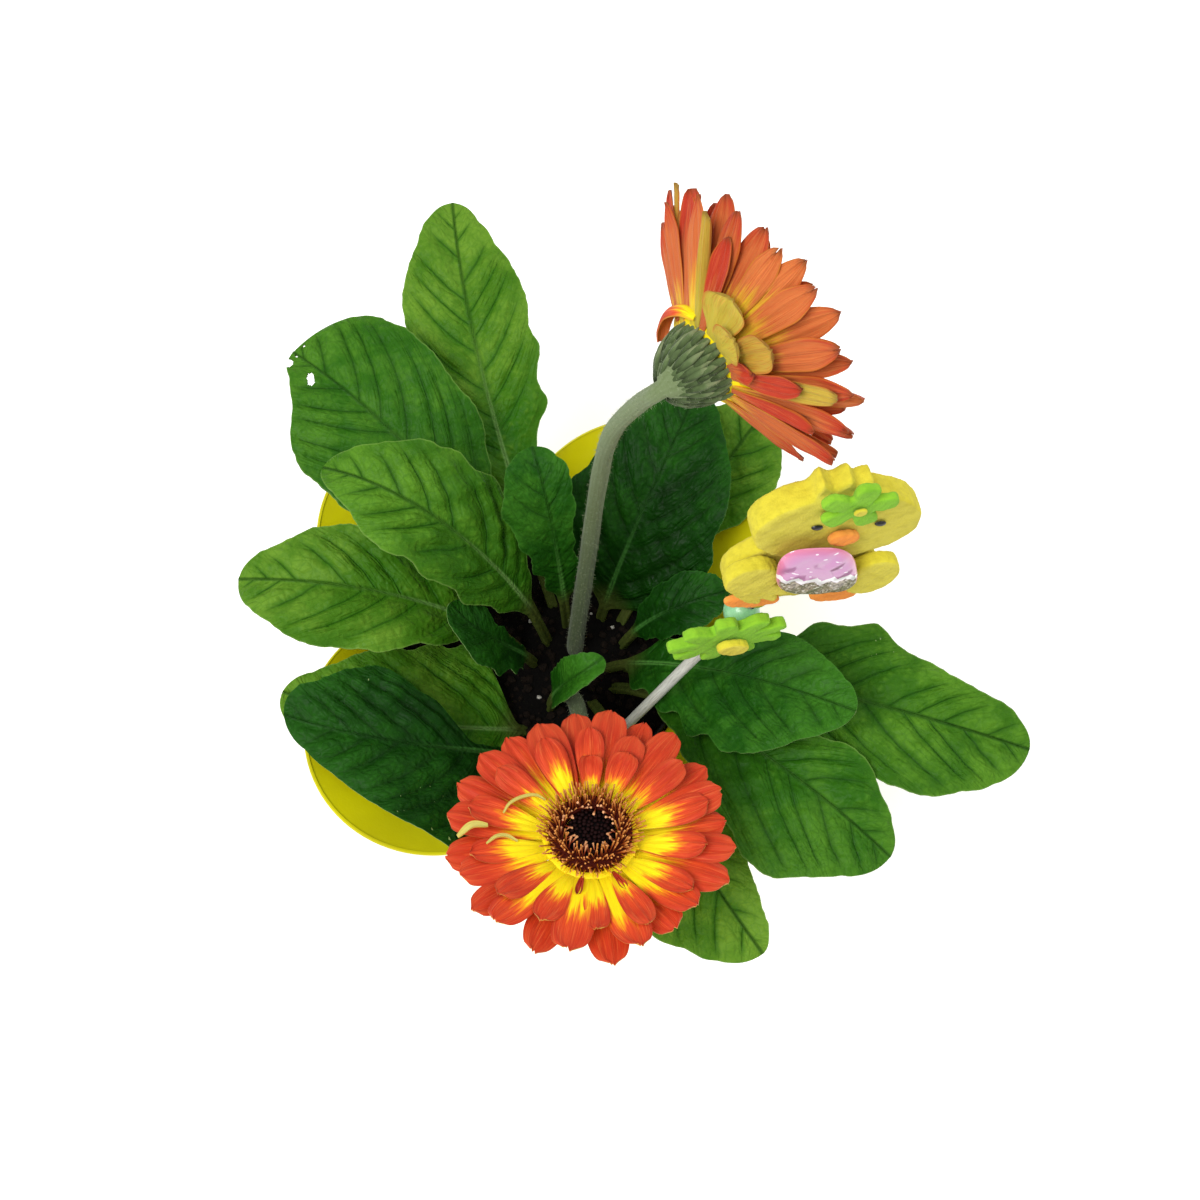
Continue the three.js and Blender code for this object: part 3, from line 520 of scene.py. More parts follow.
class Growth(Nodes):
    """A Geometry Nodes tree that sets out copies of a small prototype, with its sizes as named inputs."""

    SOCKETS = {int: "NodeSocketInt", float: "NodeSocketFloat"}

    def __init__(self, name: str, inputs: dict[str, Any]) -> None:
        """Starts the tree with a mesh, a prototype, a material and the given inputs.

        Args:
            name: The tree's name.
            inputs: The default of each named size.
        """
        super().__init__(bpy.data.node_groups.new(name, "GeometryNodeTree"))
        face = self.tree.interface
        face.new_socket("Geometry", in_out="OUTPUT", socket_type="NodeSocketGeometry")
        for key, kind in (("Geometry", "Geometry"), ("Prototype", "Object"), ("Material", "Material")):
            face.new_socket(key, in_out="INPUT", socket_type=f"NodeSocket{kind}")
        for key, value in inputs.items():
            made = face.new_socket(key, in_out="INPUT", socket_type=self.SOCKETS[type(value)])
            made.default_value = value
        self.given = {out.name: Value(self, out) for out in self.node("NodeGroupInput").outputs}
        self.plant()

    def mixed(self, low: Any, high: Any, share: Any) -> Value:
        """A value between two others."""
        return self.math("ADD", low, self.math("SUBTRACT", high, low) * share)

    def dice(self, low: Any, high: Any, stream: int) -> Value:
        """A random number for each point, from the tree's seed."""
        seed = self.given["Seed"] + float(stream)
        thrown = self.out("FunctionNodeRandomValue", {"Seed": seed}, 1, data_type="FLOAT")
        return self.mixed(low, high, thrown)

    def swing(self, most: str, stream: int) -> Value:
        """A random angle for each point, at most the named input either way."""
        return self.dice(self.given[most] * -1.0, self.given[most], stream)

    def copies(self, points: Value, rotation: Value) -> None:
        """Sets a copy of the prototype on each point and ends the tree."""
        shape = self.out("GeometryNodeObjectInfo", {"Object": self.given["Prototype"]}, "Geometry")
        size = self.dice(self.given["Small"], self.given["Large"], 1)
        planted = {"Points": points, "Instance": shape, "Rotation": rotation}
        planted["Scale"] = self.vector(size, size, size)
        spread = self.out("GeometryNodeInstanceOnPoints", planted)
        real = self.out("GeometryNodeRealizeInstances", {"Geometry": spread})
        painted = self.out("GeometryNodeSetMaterial", {"Geometry": real, "Material": self.given["Material"]})
        self.node("NodeGroupOutput", {0: painted})

    def plant(self) -> None:
        """Draws the tree between its inputs and its copies."""
        raise NotImplementedError

    def grown(self, host: Mesh, prototype: Mesh, finish: "Finish", **sizes: Any) -> Mesh:
        """The copies as a plain mesh.

        Args:
            host: The mesh they grow on.
            prototype: What is copied. It is taken away afterwards.
            finish: What the copies are made of.
            sizes: The tree's named inputs, with underscores for spaces.

        Returns:
            The copies' mesh.
        """
        carrier, sample = linked(self.tree.name, host.copy()), linked("prototype", prototype)
        sockets = [item for item in self.tree.interface.items_tree if item.item_type == "SOCKET"]
        keys = {item.name: item.identifier for item in sockets if item.in_out == "INPUT"}
        modifier = carrier.modifiers.new(self.tree.name, "NODES")
        modifier.node_group = self.tree
        for key, value in {"Prototype": sample, "Material": finish.material(), **sizes}.items():
            modifier[keys[key.replace("_", " ")]] = value
        made = settled(carrier)
        bpy.data.objects.remove(sample)
        bpy.data.meshes.remove(prototype)
        return made


class Whorl(Growth):
    """Copies set in rings or in a spiral about Z, leaning outwards. Lengths are metres, angles radians."""

    def __init__(self) -> None:
        """Names the tree's sizes."""
        sizes = {
            "Count": 10, "Step": GOLDEN_STEP, "Start": 0.0, "Inner Radius": 0.0, "Outer Radius": 0.01,
            "Inner Level": 0.0, "Outer Level": 0.0, "Inner Lean": 0.0, "Outer Lean": 0.3,
            "Small": 1.0, "Large": 1.0, "Sway": 0.1, "Seed": 1,
        }  # fmt: skip
        super().__init__("whorl", sizes)

    def plant(self) -> None:
        """Spreads points from the inner radius to the outer, evenly by area."""
        given = self.given
        index = self.out("GeometryNodeInputIndex", {})
        share = self.math("DIVIDE", index + 0.5, given["Count"])
        squares = [self.math("POWER", given[f"{end} Radius"], 2.0) for end in ("Inner", "Outer")]
        radius = self.math("SQRT", self.mixed(*squares, share))
        level = self.mixed(given["Inner Level"], given["Outer Level"], share)
        lean = self.mixed(given["Inner Lean"], given["Outer Lean"], share)
        angle = given["Start"] + index * given["Step"]
        place = self.vector(radius * self.math("COSINE", angle), radius * self.math("SINE", angle), level)
        points = self.out("GeometryNodePoints", {"Count": given["Count"], "Position": place})
        rotation = (self.swing("Sway", 2), lean + self.swing("Sway", 3), angle + self.swing("Sway", 4))
        self.copies(points, self.vector(*rotation))

    def ring(
        self,
        host: Mesh,
        prototype: Mesh,
        finish: "Finish",
        ends: dict[str, tuple[float, float]],
        **sizes: Any,
    ) -> Mesh:
        """Copies in a ring.

        Args:
            host: The mesh that carries them.
            prototype: What is copied. It is taken away afterwards.
            finish: What the copies are made of.
            ends: Radius and Level in millimetres and Lean in degrees, each inside and outside.
            sizes: The tree's other inputs, with underscores for spaces.

        Returns:
            The copies' mesh.
        """
        for key, pair in ends.items():
            for side, value in zip(("Inner", "Outer"), pair):
                sizes[f"{side} {key}"] = math.radians(value) if key == "Lean" else value * MM
        return self.grown(host, prototype, finish, **sizes)


class Scatter(Growth):
    """Copies strewn over a surface where its value grow is above nothing, by density in a square metre."""

    def __init__(self) -> None:
        """Names the tree's sizes."""
        super().__init__("scatter", {"Density": 1e5, "Small": 1.0, "Large": 1.0, "Lean": 0.3, "Seed": 1})

    def plant(self) -> None:
        """Strews points over the faces and stands a copy on each."""
        given = self.given
        grow = self.out("GeometryNodeInputNamedAttribute", {"Name": "grow"}, data_type="FLOAT")
        sown = {"Mesh": given["Geometry"], "Density": given["Density"] * grow, "Seed": given["Seed"]}
        strewn = self.node("GeometryNodeDistributePointsOnFaces", sown).outputs
        points, facing = (Value(self, strewn[key]) for key in ("Points", "Rotation"))
        nod = self.vector(self.swing("Lean", 2), self.swing("Lean", 3), self.dice(0.0, 2 * math.pi, 4))
        turns = {"Rotation": facing, "Rotate By": nod}
        self.copies(points, self.out("FunctionNodeRotateRotation", turns, rotation_space="LOCAL"))


@cache
def whorl() -> Whorl:
    """The one whorl tree, built at its first use."""
    return Whorl()


@cache
def scatter() -> Scatter:
    """The one scatter tree, built at its first use."""
    return Scatter()


def furred(
    host: Mesh, hair: "Finish", density: float, length: tuple[float, float], lean: float, seed: int
) -> Mesh:
    """Fine hairs over a mesh.

    Args:
        host: The mesh, whose value grow says where hairs stand.
        hair: Their finish.
        density: Hairs for each square millimetre.
        length: Their shortest and longest, in millimetres.
        lean: How far they lean, in radians.
        seed: Picks where they stand.

    Returns:
        The hairs' mesh.
    """
    points = [*circle(around(3), HAIR_RADIUS, -0.05), [0.1, 0, 1]]
    faces = [(0, 2, 1), (0, 1, 3), (1, 2, 3), (2, 0, 3)]
    draft = Draft().add(np.array(points), faces, along=[0, 0, 0, 1])
    sizes = {"Small": length[0], "Large": length[1], "Lean": lean, "Density": density * 1e6, "Seed": seed}
    return scatter().grown(host, draft.mesh("hair"), hair, **sizes)


# ---- finishes ----


def hue(code: str) -> tuple[float, float, float, float]:
    """A colour given by six hexadecimal digits, as Blender's linear light."""
    parts = [int(code[i : i + 2], 16) / 255 for i in (0, 2, 4)]
    return (*(c / 12.92 if c <= 0.04045 else ((c + 0.055) / 1.055) ** 2.4 for c in parts), 1.0)


class Shade(Nodes):
    """A material's nodes, with lengths read in millimetres and colours given as hexadecimal digits."""

    def __init__(self, name: str) -> None:
        """Starts a material with one shader."""
        self.material = bpy.data.materials.new(name)
        self.material.use_nodes = True
        super().__init__(self.material.node_tree)
        self.tree.nodes.clear()
        self.surface = self.node("ShaderNodeBsdfPrincipled")
        self.node("ShaderNodeOutputMaterial", {0: Value(self, self.surface.outputs[0])})

    def span(self, value: Any, low: float, high: float, to: tuple[float, float] = (0, 1)) -> Value:
        """The first of two values at low and the second at high, smoothly between them."""
        inputs = {"Value": value, "From Min": low, "From Max": high, "To Min": to[0], "To Max": to[1]}
        return self.out("ShaderNodeMapRange", inputs, interpolation_type="SMOOTHSTEP")

    def mix(self, share: Any, first: Any, second: Any) -> Value:
        """Two colours mixed by a share."""
        first, second = (hue(colour) if isinstance(colour, str) else colour for colour in (first, second))
        inputs = {0: share, 6: first, 7: second}
        return self.out("ShaderNodeMix", inputs, 2, data_type="RGBA", clamp_factor=True)

    def coats(self, colour: Any, *coats: tuple[Any, Any]) -> Value:
        """A colour under others, each of them laid on by its share."""
        for share, coat in coats:
            colour = self.mix(share, colour, coat)
        return colour

    def ramp(self, value: Any, *stops: tuple[float, str], top: float = 1.0) -> Value:
        """A colour from stops along a value that runs from 0 to top."""
        made = self.node("ShaderNodeValToRGB", {0: self.math("DIVIDE", value, top)})
        stretch = made.color_ramp.elements
        while len(stretch) < len(stops):
            stretch.new(0.5)
        for element, (place, code) in zip(stretch, sorted(stops)):
            element.position = place / top
            element.color = hue(code)
        return Value(self, made.outputs[0])

    def place(self, stretch: Sequence[float] = (1, 1, 1)) -> Value:
        """Where a point is on the object, in millimetres, stretched along its axes."""
        spot = self.out("ShaderNodeTexCoord", {}, "Object")
        scale = tuple(s / MM for s in stretch)
        return self.out("ShaderNodeVectorMath", {0: spot, 1: scale}, operation="MULTIPLY")

    def named(self, name: str) -> Value:
        """A value kept at the mesh's points."""
        return self.out("ShaderNodeAttribute", {}, "Fac", attribute_name=name)

    def noise(self, size: float, detail: float = 2, rough: float = 0.5, spot: Any = None) -> Value:
        """A soft random field whose blotches are about size millimetres across."""
        inputs = {"Vector": self.place() if spot is None else spot, "Scale": 1 / size}
        return self.out("ShaderNodeTexNoise", {**inputs, "Detail": detail, "Roughness": rough})

    def warped(self, size: float, shift: float) -> Value:
        """Where a point is, pushed about by up to shift millimetres in swirls about size across."""
        swirl = self.out("ShaderNodeTexNoise", {"Vector": self.place(), "Scale": 1 / size}, "Color")
        push = self.out("ShaderNodeVectorMath", {0: swirl, 1: (shift,) * 3}, operation="MULTIPLY")
        return self.out("ShaderNodeVectorMath", {0: self.place(), 1: push}, operation="ADD")

    def cells(self, size: float, spot: Any) -> Value:
        """How far a spot is from the edges of cells about size millimetres across."""
        inputs = {"Vector": spot, "Scale": 1 / size}
        return self.out("ShaderNodeTexVoronoi", inputs, "Distance", feature="DISTANCE_TO_EDGE")

    def done(self, colour: Value, roughness: Any, height: Any, depth: float, **more: Any) -> Material:
        """The finished material.

        Args:
            colour: Its colour.
            roughness: How dull it is.
            height: A field whose relief its surface shows.
            depth: How many millimetres the surface rises where that field is one.
            more: The shader's other inputs, with underscores for spaces.

        Returns:
            The material.
        """
        relief = self.out("ShaderNodeBump", {"Height": height, "Distance": depth * MM, "Strength": 1.0})
        more |= {"Base Color": colour, "Roughness": roughness, "Normal": relief}
        self.feed(self.surface, {key.replace("_", " "): value for key, value in more.items()})
        return self.material


@dataclass(frozen=True)
class Finish:
    """A named finish, made into a material once."""

    name: str

    def material(self) -> Material:
        """The finish's material, built at its first use."""
        return bpy.data.materials.get(self.name) or self.paint(Shade(self.name))

    def paint(self, shade: Shade) -> Material:
        """Draws the finish's nodes."""
        raise NotImplementedError


@dataclass(frozen=True)
class LeafFinish(Finish):
    """A leaf: veined and puckered above, pale below, with a brownish stalk."""

    dark: str
    middle: str
    light: str
    under: str = "7f9a58"
    stalk: str = "4a5222"
    rib: str = "6f9650"
    # margin: the colour of the painted highlight along the leaf's edge
    margin: str = "86a554"
    veins: float = 1.0

    def paint(self, shade: Shade) -> Material:
        """Colours the blade by its veins, its distance from the midrib and slow mottling, with painted shade
        in the vein grooves, along the midrib and in the creases of the quilting, and painted highlights on
        the swells and along the margin.
        """
        along, phase, rib, edge = (shade.named(key) for key in ("along", "phase", "rib", "edge"))
        grain, mottle, patch = shade.noise(1.7, 5, 0.65), shade.noise(24, 3), shade.noise(6.5, 3, 0.6)
        # along lightens the blade towards its tip: partly the leaf's own colour, partly painted shade at its
        # base
        lightness = mottle * 0.7 + 0.05 + along * 0.3 + patch * 0.36 + grain * 0.2
        body = shade.ramp(lightness, (0.52, self.dark), (0.82, self.middle), (1.1, self.light))
        swayed = phase + (shade.noise(9, 3) - 0.5) * 0.14 + 100.0
        off_vein = shade.math("PINGPONG", swayed, 0.5)
        fade = shade.span(edge, 0.5, 9) * shade.span(rib, 0.5, 1.2) * self.veins
        # line marks the veins and valley the ground beside them; on the upper face both lay painted shade
        # into the sunken vein grooves, in the colour deep
        line = shade.span(off_vein, 0.0, 0.05, (1, 0)) * fade
        vein_groove_shade = shade.span(off_vein, 0.02, 0.22, (1, 0)) * fade
        # branch and net trace the small sunken veins and the quilting; their lines paint shade into those
        # creases
        branch = shade.cells(1.0, shade.vector(swayed * 3.4, edge * 0.2, along * 3))
        branch_crease_shade = shade.span(branch, 0.0, 0.1, (1, 0)) * shade.span(patch, 0.35, 0.6)
        net = shade.cells(3.1, shade.warped(2.0, 1.2))
        net_crease_shade = shade.span(net, 0.0, 0.12, (1, 0)) * shade.span(mottle, 0.35, 0.62)
        # painted highlight on the swells of the quilting
        puff_highlight = shade.span(net, 0.1, 0.42) * shade.span(patch, 0.35, 0.65) * 0.4
        # deep: the colour of the painted shade in the vein grooves and beside the midrib
        deep = shade.mix(0.5, self.dark, "0a2206")
        # painted shade in the groove along the midrib
        rib_groove_shade = shade.span(rib, 0.4, 1.7, (1, 0)) * shade.span(along, 0.1, 0.9, (0.2, 0.7)) * self.veins
        midrib = shade.span(rib, 0.2, 0.7, (1, 0)) * shade.span(along, 0.1, 0.62, (0.75, 0.0))
        below = shade.coats(self.under, (line * 0.45, self.middle), (grain * 0.5, "93a878"))
        stem = shade.mix(shade.noise(5, 3), self.stalk, "2f3d14")
        # the margin coat is a painted highlight along the leaf's edge
        colour = shade.coats(
            body, (puff_highlight, self.light), (vein_groove_shade * 0.6, self.dark), (branch_crease_shade * 0.24, self.dark),
            (net_crease_shade * 0.2, self.dark), (line * 0.6, deep), (rib_groove_shade, deep), (midrib, self.rib),
            (shade.span(edge, 0.05, 0.6, (0.3, 0)), self.margin), (shade.named("under"), below),
            (shade.named("stalk"), stem),
        )  # fmt: skip
        height = grain * 0.3 + shade.span(net, 0.0, 0.4) * 0.6 + shade.span(branch, 0.0, 0.25) * 0.5
        height = height + line * -0.5
        gloss = shade.span(patch, 0.2, 0.8, (0.42, 0.6))
        return shade.done(colour, gloss, height, 0.34, Specular_IOR_Level=0.09)


@dataclass(frozen=True)
class PetalFinish(Finish):
    """A petal: yellow at its throat, running in flames to orange and red at its tip and edges."""

    throat: str = "f8de06"
    flame: str = "f08f14"
    orange: str = "d8491c"
    red: str = "be3314"
    back_throat: str = "dcc428"
    back: str = "cc5f26"
    olive: str = "b0a234"
    dried: str = "6b4a26"
    withered: float = 0.0

    def paint(self, shade: Shade) -> Material:
        """Colours the blade by how far along and across it a point is, with streaks along it."""
        along, across, tint = (shade.named(key) for key in ("along", "across", "tint"))
        off = shade.math("ABSOLUTE", across)
        lanes = shade.vector(across * 4.5, along * 2.4, tint * 40)
        streak = shade.noise(1 / 1.4, 4, spot=lanes)
        fine_lanes = shade.vector(across * 19, along * 3, tint * 17)
        fine = shade.noise(1.0, 3, spot=fine_lanes)
        heat = along + off * off * 0.2 + (streak - 0.5) * 0.55 + (fine - 0.5) * 0.22 + (tint - 0.5) * 0.3
        face = shade.ramp(
            heat, (0.27, self.throat), (0.38, self.flame), (0.5, self.orange), (0.78, self.red),
            (1.1, "cc4c24"), (1.5, "7c140c"), top=1.5,
        )  # fmt: skip
        rear = shade.ramp(
            heat, (0.18, self.back_throat), (0.38, "d29a2c"), (0.56, self.back), (0.95, self.back),
            (1.2, self.red), top=1.5,
        )  # fmt: skip
        rear = shade.mix(shade.span(off, 0.86, 1.0) * 0.4, rear, self.back_throat)
        dry = shade.mix(streak * 0.8, self.olive, "c2a83a")
        warm = shade.span(heat, 0.35, 0.6)
        # darker red along the edges: partly the petal's own colour, partly painted shade where petals overlap
        edge_red_and_shade = shade.span(off, 0.82, 1.0) * shade.span(along, 0.35, 0.6) * 0.5
        tip = shade.span(along + streak * 0.1, 0.97, 1.06) * self.withered
        colour = shade.coats(
            face, (shade.named("under"), rear), (shade.named("olive"), dry),
            (shade.span(fine, 0.48, 0.7) * warm * 0.36, "a82810"),
            (shade.span(fine, 0.45, 0.3) * warm * 0.3, "ee8a4a"),
            (shade.span(tint, 0.2, 1.0) * warm * 0.25, "981f0e"),
            (edge_red_and_shade, "a8280c"), (tip, self.dried),
        )  # fmt: skip
        gloss = shade.span(streak, 0.3, 0.7, (0.5, 0.66))
        return shade.done(
            colour, gloss, fine * 0.8 + streak * 0.6, 0.24, Specular_IOR_Level=0.2, Sheen_Weight=0.05,
            Subsurface_Weight=0.08, Subsurface_Scale=0.0015,
        )  # fmt: skip


@dataclass(frozen=True)
class GradedFinish(Finish):
    """A small floret, bract or hair whose colour runs from its foot to its tip."""

    foot: str
    middle: str
    tip: str
    roughness: float = 0.6
    sheen: float = 0.0

    def paint(self, shade: Shade) -> Material:
        """Runs the colour along the piece, with a little mottling."""
        mottle = shade.noise(1.6, 3)
        place = shade.named("along") + (mottle - 0.5) * 0.5
        colour = shade.ramp(place, (0.1, self.foot), (0.55, self.middle), (0.95, self.tip))
        extra = {"Sheen_Weight": self.sheen, "Specular_IOR_Level": 0.12}
        return shade.done(colour, self.roughness, mottle, 0.12, **extra)


@dataclass(frozen=True)
class StemFinish(Finish):
    """A downy stem, ribbed along its length, with painted shade darkening it towards its foot."""

    green: str = "5f6f46"
    pale: str = "82906b"

    def paint(self, shade: Shade) -> Material:
        """Draws ribs round the stem and a dusty bloom over them."""
        ribs = shade.math("SINE", shade.named("around") * 14.0)
        dust = shade.noise(1.1, 5, 0.7)
        # height darkens the stem low down, a painted shade where it rises among the leaves
        height = shade.out("ShaderNodeSeparateXYZ", {0: shade.place()}, 2)
        colour = shade.coats(
            self.green, (shade.span(shade.noise(11, 3), 0.3, 0.7), "59693a"),
            (dust * 0.7 + ribs * 0.05, self.pale), (shade.span(height, 75, 215, (0.85, 0)), "313c22"),
            (shade.span(shade.noise(0.8, 4, 0.7), 0.55, 0.75) * 0.4, "a9b394"),
        )  # fmt: skip
        return shade.done(colour, 0.85, ribs * 0.15 + dust, 0.2, Sheen_Weight=0.12, Specular_IOR_Level=0.2)


@dataclass(frozen=True)
class PlasticFinish(Finish):
    """Moulded plastic with a faint satin grain, dulled in patches."""

    colour: str
    worn: str
    gloss: tuple[float, float] = (0.3, 0.45)
    grain: float = 0.05

    def paint(self, shade: Shade) -> Material:
        """Mottles the colour slowly and roughens it finely."""
        cloud = shade.noise(38, 4, 0.55)
        scuff = shade.noise(3, 6, 0.75, shade.place((0.35, 0.35, 2.2)))
        faded, rubbed = shade.span(cloud, 0.35, 0.75), shade.span(scuff, 0.6, 0.8) * 0.25
        colour = shade.coats(self.colour, (faded, self.worn), (rubbed, self.worn))
        gloss, fine = shade.span(scuff, 0.3, 0.75, self.gloss), shade.noise(0.9, 3)
        return shade.done(colour, gloss, fine, self.grain, Specular_IOR_Level=0.22, Coat_Weight=0.06)


@dataclass(frozen=True)
class FeltFinish(Finish):
    """Thick craft felt: a smooth pressed face and cut sides painted brighter as a painted highlight, with
    fine matted fibres.
    """

    face: str
    # side: the felt's colour with a painted highlight, for the cut sides
    side: str
    deep: str

    def paint(self, shade: Shade) -> Material:
        """Lays fibres over each other at several sizes, and paints the cut sides brighter than the face as a
        painted highlight.
        """
        fibre, mat = shade.noise(0.5, 6, 0.7), shade.noise(3.4, 4, 0.6)
        band = shade.noise(2.5, 3, 0.6, shade.place((0.35, 1.6, 1.6)))
        # face says how far a point faces out of the felt; where it does not, the brighter side colour is a
        # painted highlight
        colour = shade.coats(
            self.side, (shade.span(shade.named("face"), 0.55, 0.9), self.face),
            (shade.span(mat, 0.42, 0.72) * 0.35, self.deep), (shade.span(band, 0.45, 0.7) * 0.22, self.deep),
            (shade.span(fibre, 0.45, 0.75) * 0.4, self.side),
        )  # fmt: skip
        height = mat * 0.9 + fibre * 0.8
        return shade.done(colour, 0.9, height, 0.36, Sheen_Weight=0.05, Specular_IOR_Level=0.15)


@dataclass(frozen=True)
class SoilFinish(Finish):
    """Dark damp compost."""

    def paint(self, shade: Shade) -> Material:
        """Mixes near black with brown fibres."""
        clod = shade.noise(2.2, 6, 0.7)
        fibre = shade.noise(1.2, 4, 0.6, shade.place((1, 4, 1)))
        colour = shade.ramp(clod, (0.3, "020201"), (0.6, "070504"), (0.8, "17100b"))
        colour = shade.mix(shade.span(fibre, 0.68, 0.82, (0, 0.5)), colour, "2a1d12")
        return shade.done(colour, 0.95, clod, 1.2, Specular_IOR_Level=0.1)


@dataclass(frozen=True)
class GrainFinish(Finish):
    """A speck of perlite or a crumb, darker in its pits and lighter on its high spots: painted shade."""

    low: str
    high: str

    def paint(self, shade: Shade) -> Material:
        """Mottles the speck, with painted shade in its pits."""
        pit = shade.noise(0.6, 4, 0.7)
        colour = shade.ramp(pit, (0.3, self.low), (0.65, self.high))
        return shade.done(colour, 0.9, pit, 0.3, Specular_IOR_Level=0.1)


@dataclass(frozen=True)
class GlossFinish(Finish):
    """A painted bead or dot under clear varnish."""

    colour: str
    shade_colour: str
    roughness: float = 0.22

    def paint(self, shade: Shade) -> Material:
        """Clouds the paint a little under its coat."""
        cloud, fine = shade.noise(3.2, 4, 0.6), shade.noise(0.7, 2)
        colour = shade.mix(shade.span(cloud, 0.35, 0.7), self.colour, self.shade_colour)
        gloss = shade.span(fine, 0.3, 0.7, (self.roughness, self.roughness + 0.12))
        return shade.done(colour, gloss, fine, 0.04, Coat_Weight=0.25)


@dataclass(frozen=True)
class StickFinish(Finish):
    """A slim wooden stick painted white, with its grain telegraphing through."""

    def paint(self, shade: Shade) -> Material:
        """Draws the grain along the stick."""
        lanes = shade.vector(shade.named("around") * 3, shade.named("along") * 9)
        grain = shade.noise(1 / 2.0, 5, spot=lanes)
        colour = shade.ramp(grain, (0.3, "9e9e94"), (0.52, "c8c8be"), (0.8, "dcdcd4"))
        return shade.done(colour, 0.42, grain, 0.16)


@dataclass(frozen=True)
class EggFinish(Finish):
    """A glazed egg: pink, crossed by a white zigzag, with coarse glitter below it and painted white
    highlights above it.
    """

    pink: str = "d87c9e"
    lilac: str = "bf7fb0"

    def paint(self, shade: Shade) -> Material:
        """Bands the egg by how far up it a point is, the band's edge running in a zigzag."""
        across, upward, deep = (shade.named(key) for key in ("side", "rise", "deep"))
        sway = (shade.noise(3, 2) - 0.5) * 3.0
        tooth = shade.math("PINGPONG", across + sway + 40.0, 2.6) * 0.75
        over = upward + 1.6 - tooth
        grid = {"Vector": shade.place(), "Scale": 1.6}
        sparkle = shade.out("ShaderNodeTexVoronoi", grid, "Color", feature="F1")
        flake = shade.ramp(sparkle, (0.15, "574a38"), (0.5, "8a7c66"), (0.75, "a89a84"), (0.97, "f3efe6"))
        below = shade.span(over, -2.6, -2.2, (1, 0)) * shade.span(deep, 0.25, 0.4)
        band = shade.span(over, -2.5, -2.2) * shade.span(over, -0.4, -0.1, (1, 0))
        # painted highlights: short white dashes on the upper part of the glaze
        highlight_dashes = shade.noise(1.0, 1, 0.4, shade.vector(across * 0.3, upward * 0.75))
        painted_highlight = shade.span(highlight_dashes, 0.66, 0.7) * shade.span(over, 0.4, 0.8) * 0.8
        colour = shade.coats(
            self.pink, (shade.span(deep, 0.1, 0.7), self.lilac), (below, flake), (band, "f2eef0"),
            (painted_highlight, "f4eef4"),
        )  # fmt: skip
        gloss, grit = below * 0.25 + 0.14, below * shade.noise(0.6, 3)
        return shade.done(colour, gloss, grit, 0.3, Coat_Weight=0.7, Coat_Roughness=0.08)


@dataclass(frozen=True)
class FloorFinish(Finish):
    """A plain pale studio floor."""

    def paint(self, shade: Shade) -> Material:
        """Keeps the floor almost even in colour and flat."""
        soft = shade.noise(400, 2)
        colour = shade.mix(soft, "fafafa", "f4f4f3")
        return shade.done(colour, 0.9, soft, 0.0, Emission_Color=(1, 1, 1, 1), Emission_Strength=0.3)


class LeafTone(Enum):
    """The greens of the rosette's leaves: lit and shaded copies of one leaf, partly their own tones and
    partly painted shade, the darker ones for leaves lying in the shade of others, with fainter vein shade.
    """

    LIGHT = LeafFinish("leaf_light", "245a06", "437014", "628a26")
    FRESH = LeafFinish("leaf_fresh", "1a4c04", "35640f", "53821f")
    MIDDLE = LeafFinish("leaf_middle", "154404", "2b5e0d", "47781c", veins=0.8)
    DARK = LeafFinish("leaf_dark", "0a3203", "1a4c09", "346a17", rib="4f8438", margin="4a7a30", veins=0.6)
    DEEP = LeafFinish("leaf_deep", "041901", "0b3603", "1d500c", rib="3f7430", margin="2f6420", veins=0.45)


class Felt(Enum):
    """The felts the chick and its flowers are cut from."""

    YELLOW = FeltFinish("felt_yellow_cloth", "d2c64c", "dccf3c", "a89a24")
    GREEN = FeltFinish("felt_green_cloth", "80b832", "8cc430", "62a022")
    ORANGE = FeltFinish("felt_orange_cloth", "ee9440", "f2a048", "cc7026")


COVER_PLASTIC = PlasticFinish("cover_plastic", "cfc606", "bdb408")
NURSERY_PLASTIC = PlasticFinish("nursery_plastic", "141413", "1f1f1d", (0.45, 0.65), 0.15)
COMPOST = SoilFinish("soil_compost")
CRUMB = GrainFinish("soil_crumb", "040302", "1a120c")
PERLITE = GrainFinish("soil_perlite", "5c5a54", "b4b1a8")
PETAL_FRONT = PetalFinish("petal_front", back="d8a848", back_throat="dcd070")
PETAL_BACK = PetalFinish("petal_back", back="c66c34", red="b8381c", withered=0.5)
STEM_DOWN = StemFinish("stem_down")
STEM_HAIR = GradedFinish("stem_hair", "6d7a52", "98a27e", "bcc2a6", 0.75, 0.1)
BRACT = GradedFinish("bract_green", "323f22", "586a42", "87906a", 0.8, 0.1)
FLORET = GradedFinish("floret_tube", "611a08", "a85420", "d08c48")
FLORET_INNER = GradedFinish("floret_inner", "3a0a08", "963c20", "dca070")
FLORET_OUTER = GradedFinish("floret_outer", "c87c10", "f0c410", "f2d020")
FLORET_SEAT = GradedFinish("floret_seat", "4a140a", "4a140a", "4a140a", 0.8)
EYE_BUD = GradedFinish("eye_bud", "040001", "0c0102", "1a0404", 0.7)
STICK_PAINT = StickFinish("stick_paint")
GLAZE = EggFinish("egg_glaze")
DOT = GlossFinish("dot_black_gloss", "050404", "0d0c0c", 0.3)
MINT = GlossFinish("bead_mint_paint", "96d09e", "82c090")
LEMON = GlossFinish("bead_lemon_paint", "e2cf2c", "d2ba1e", 0.4)
FLOOR = FloorFinish("floor_pale")


# ---- pot ----


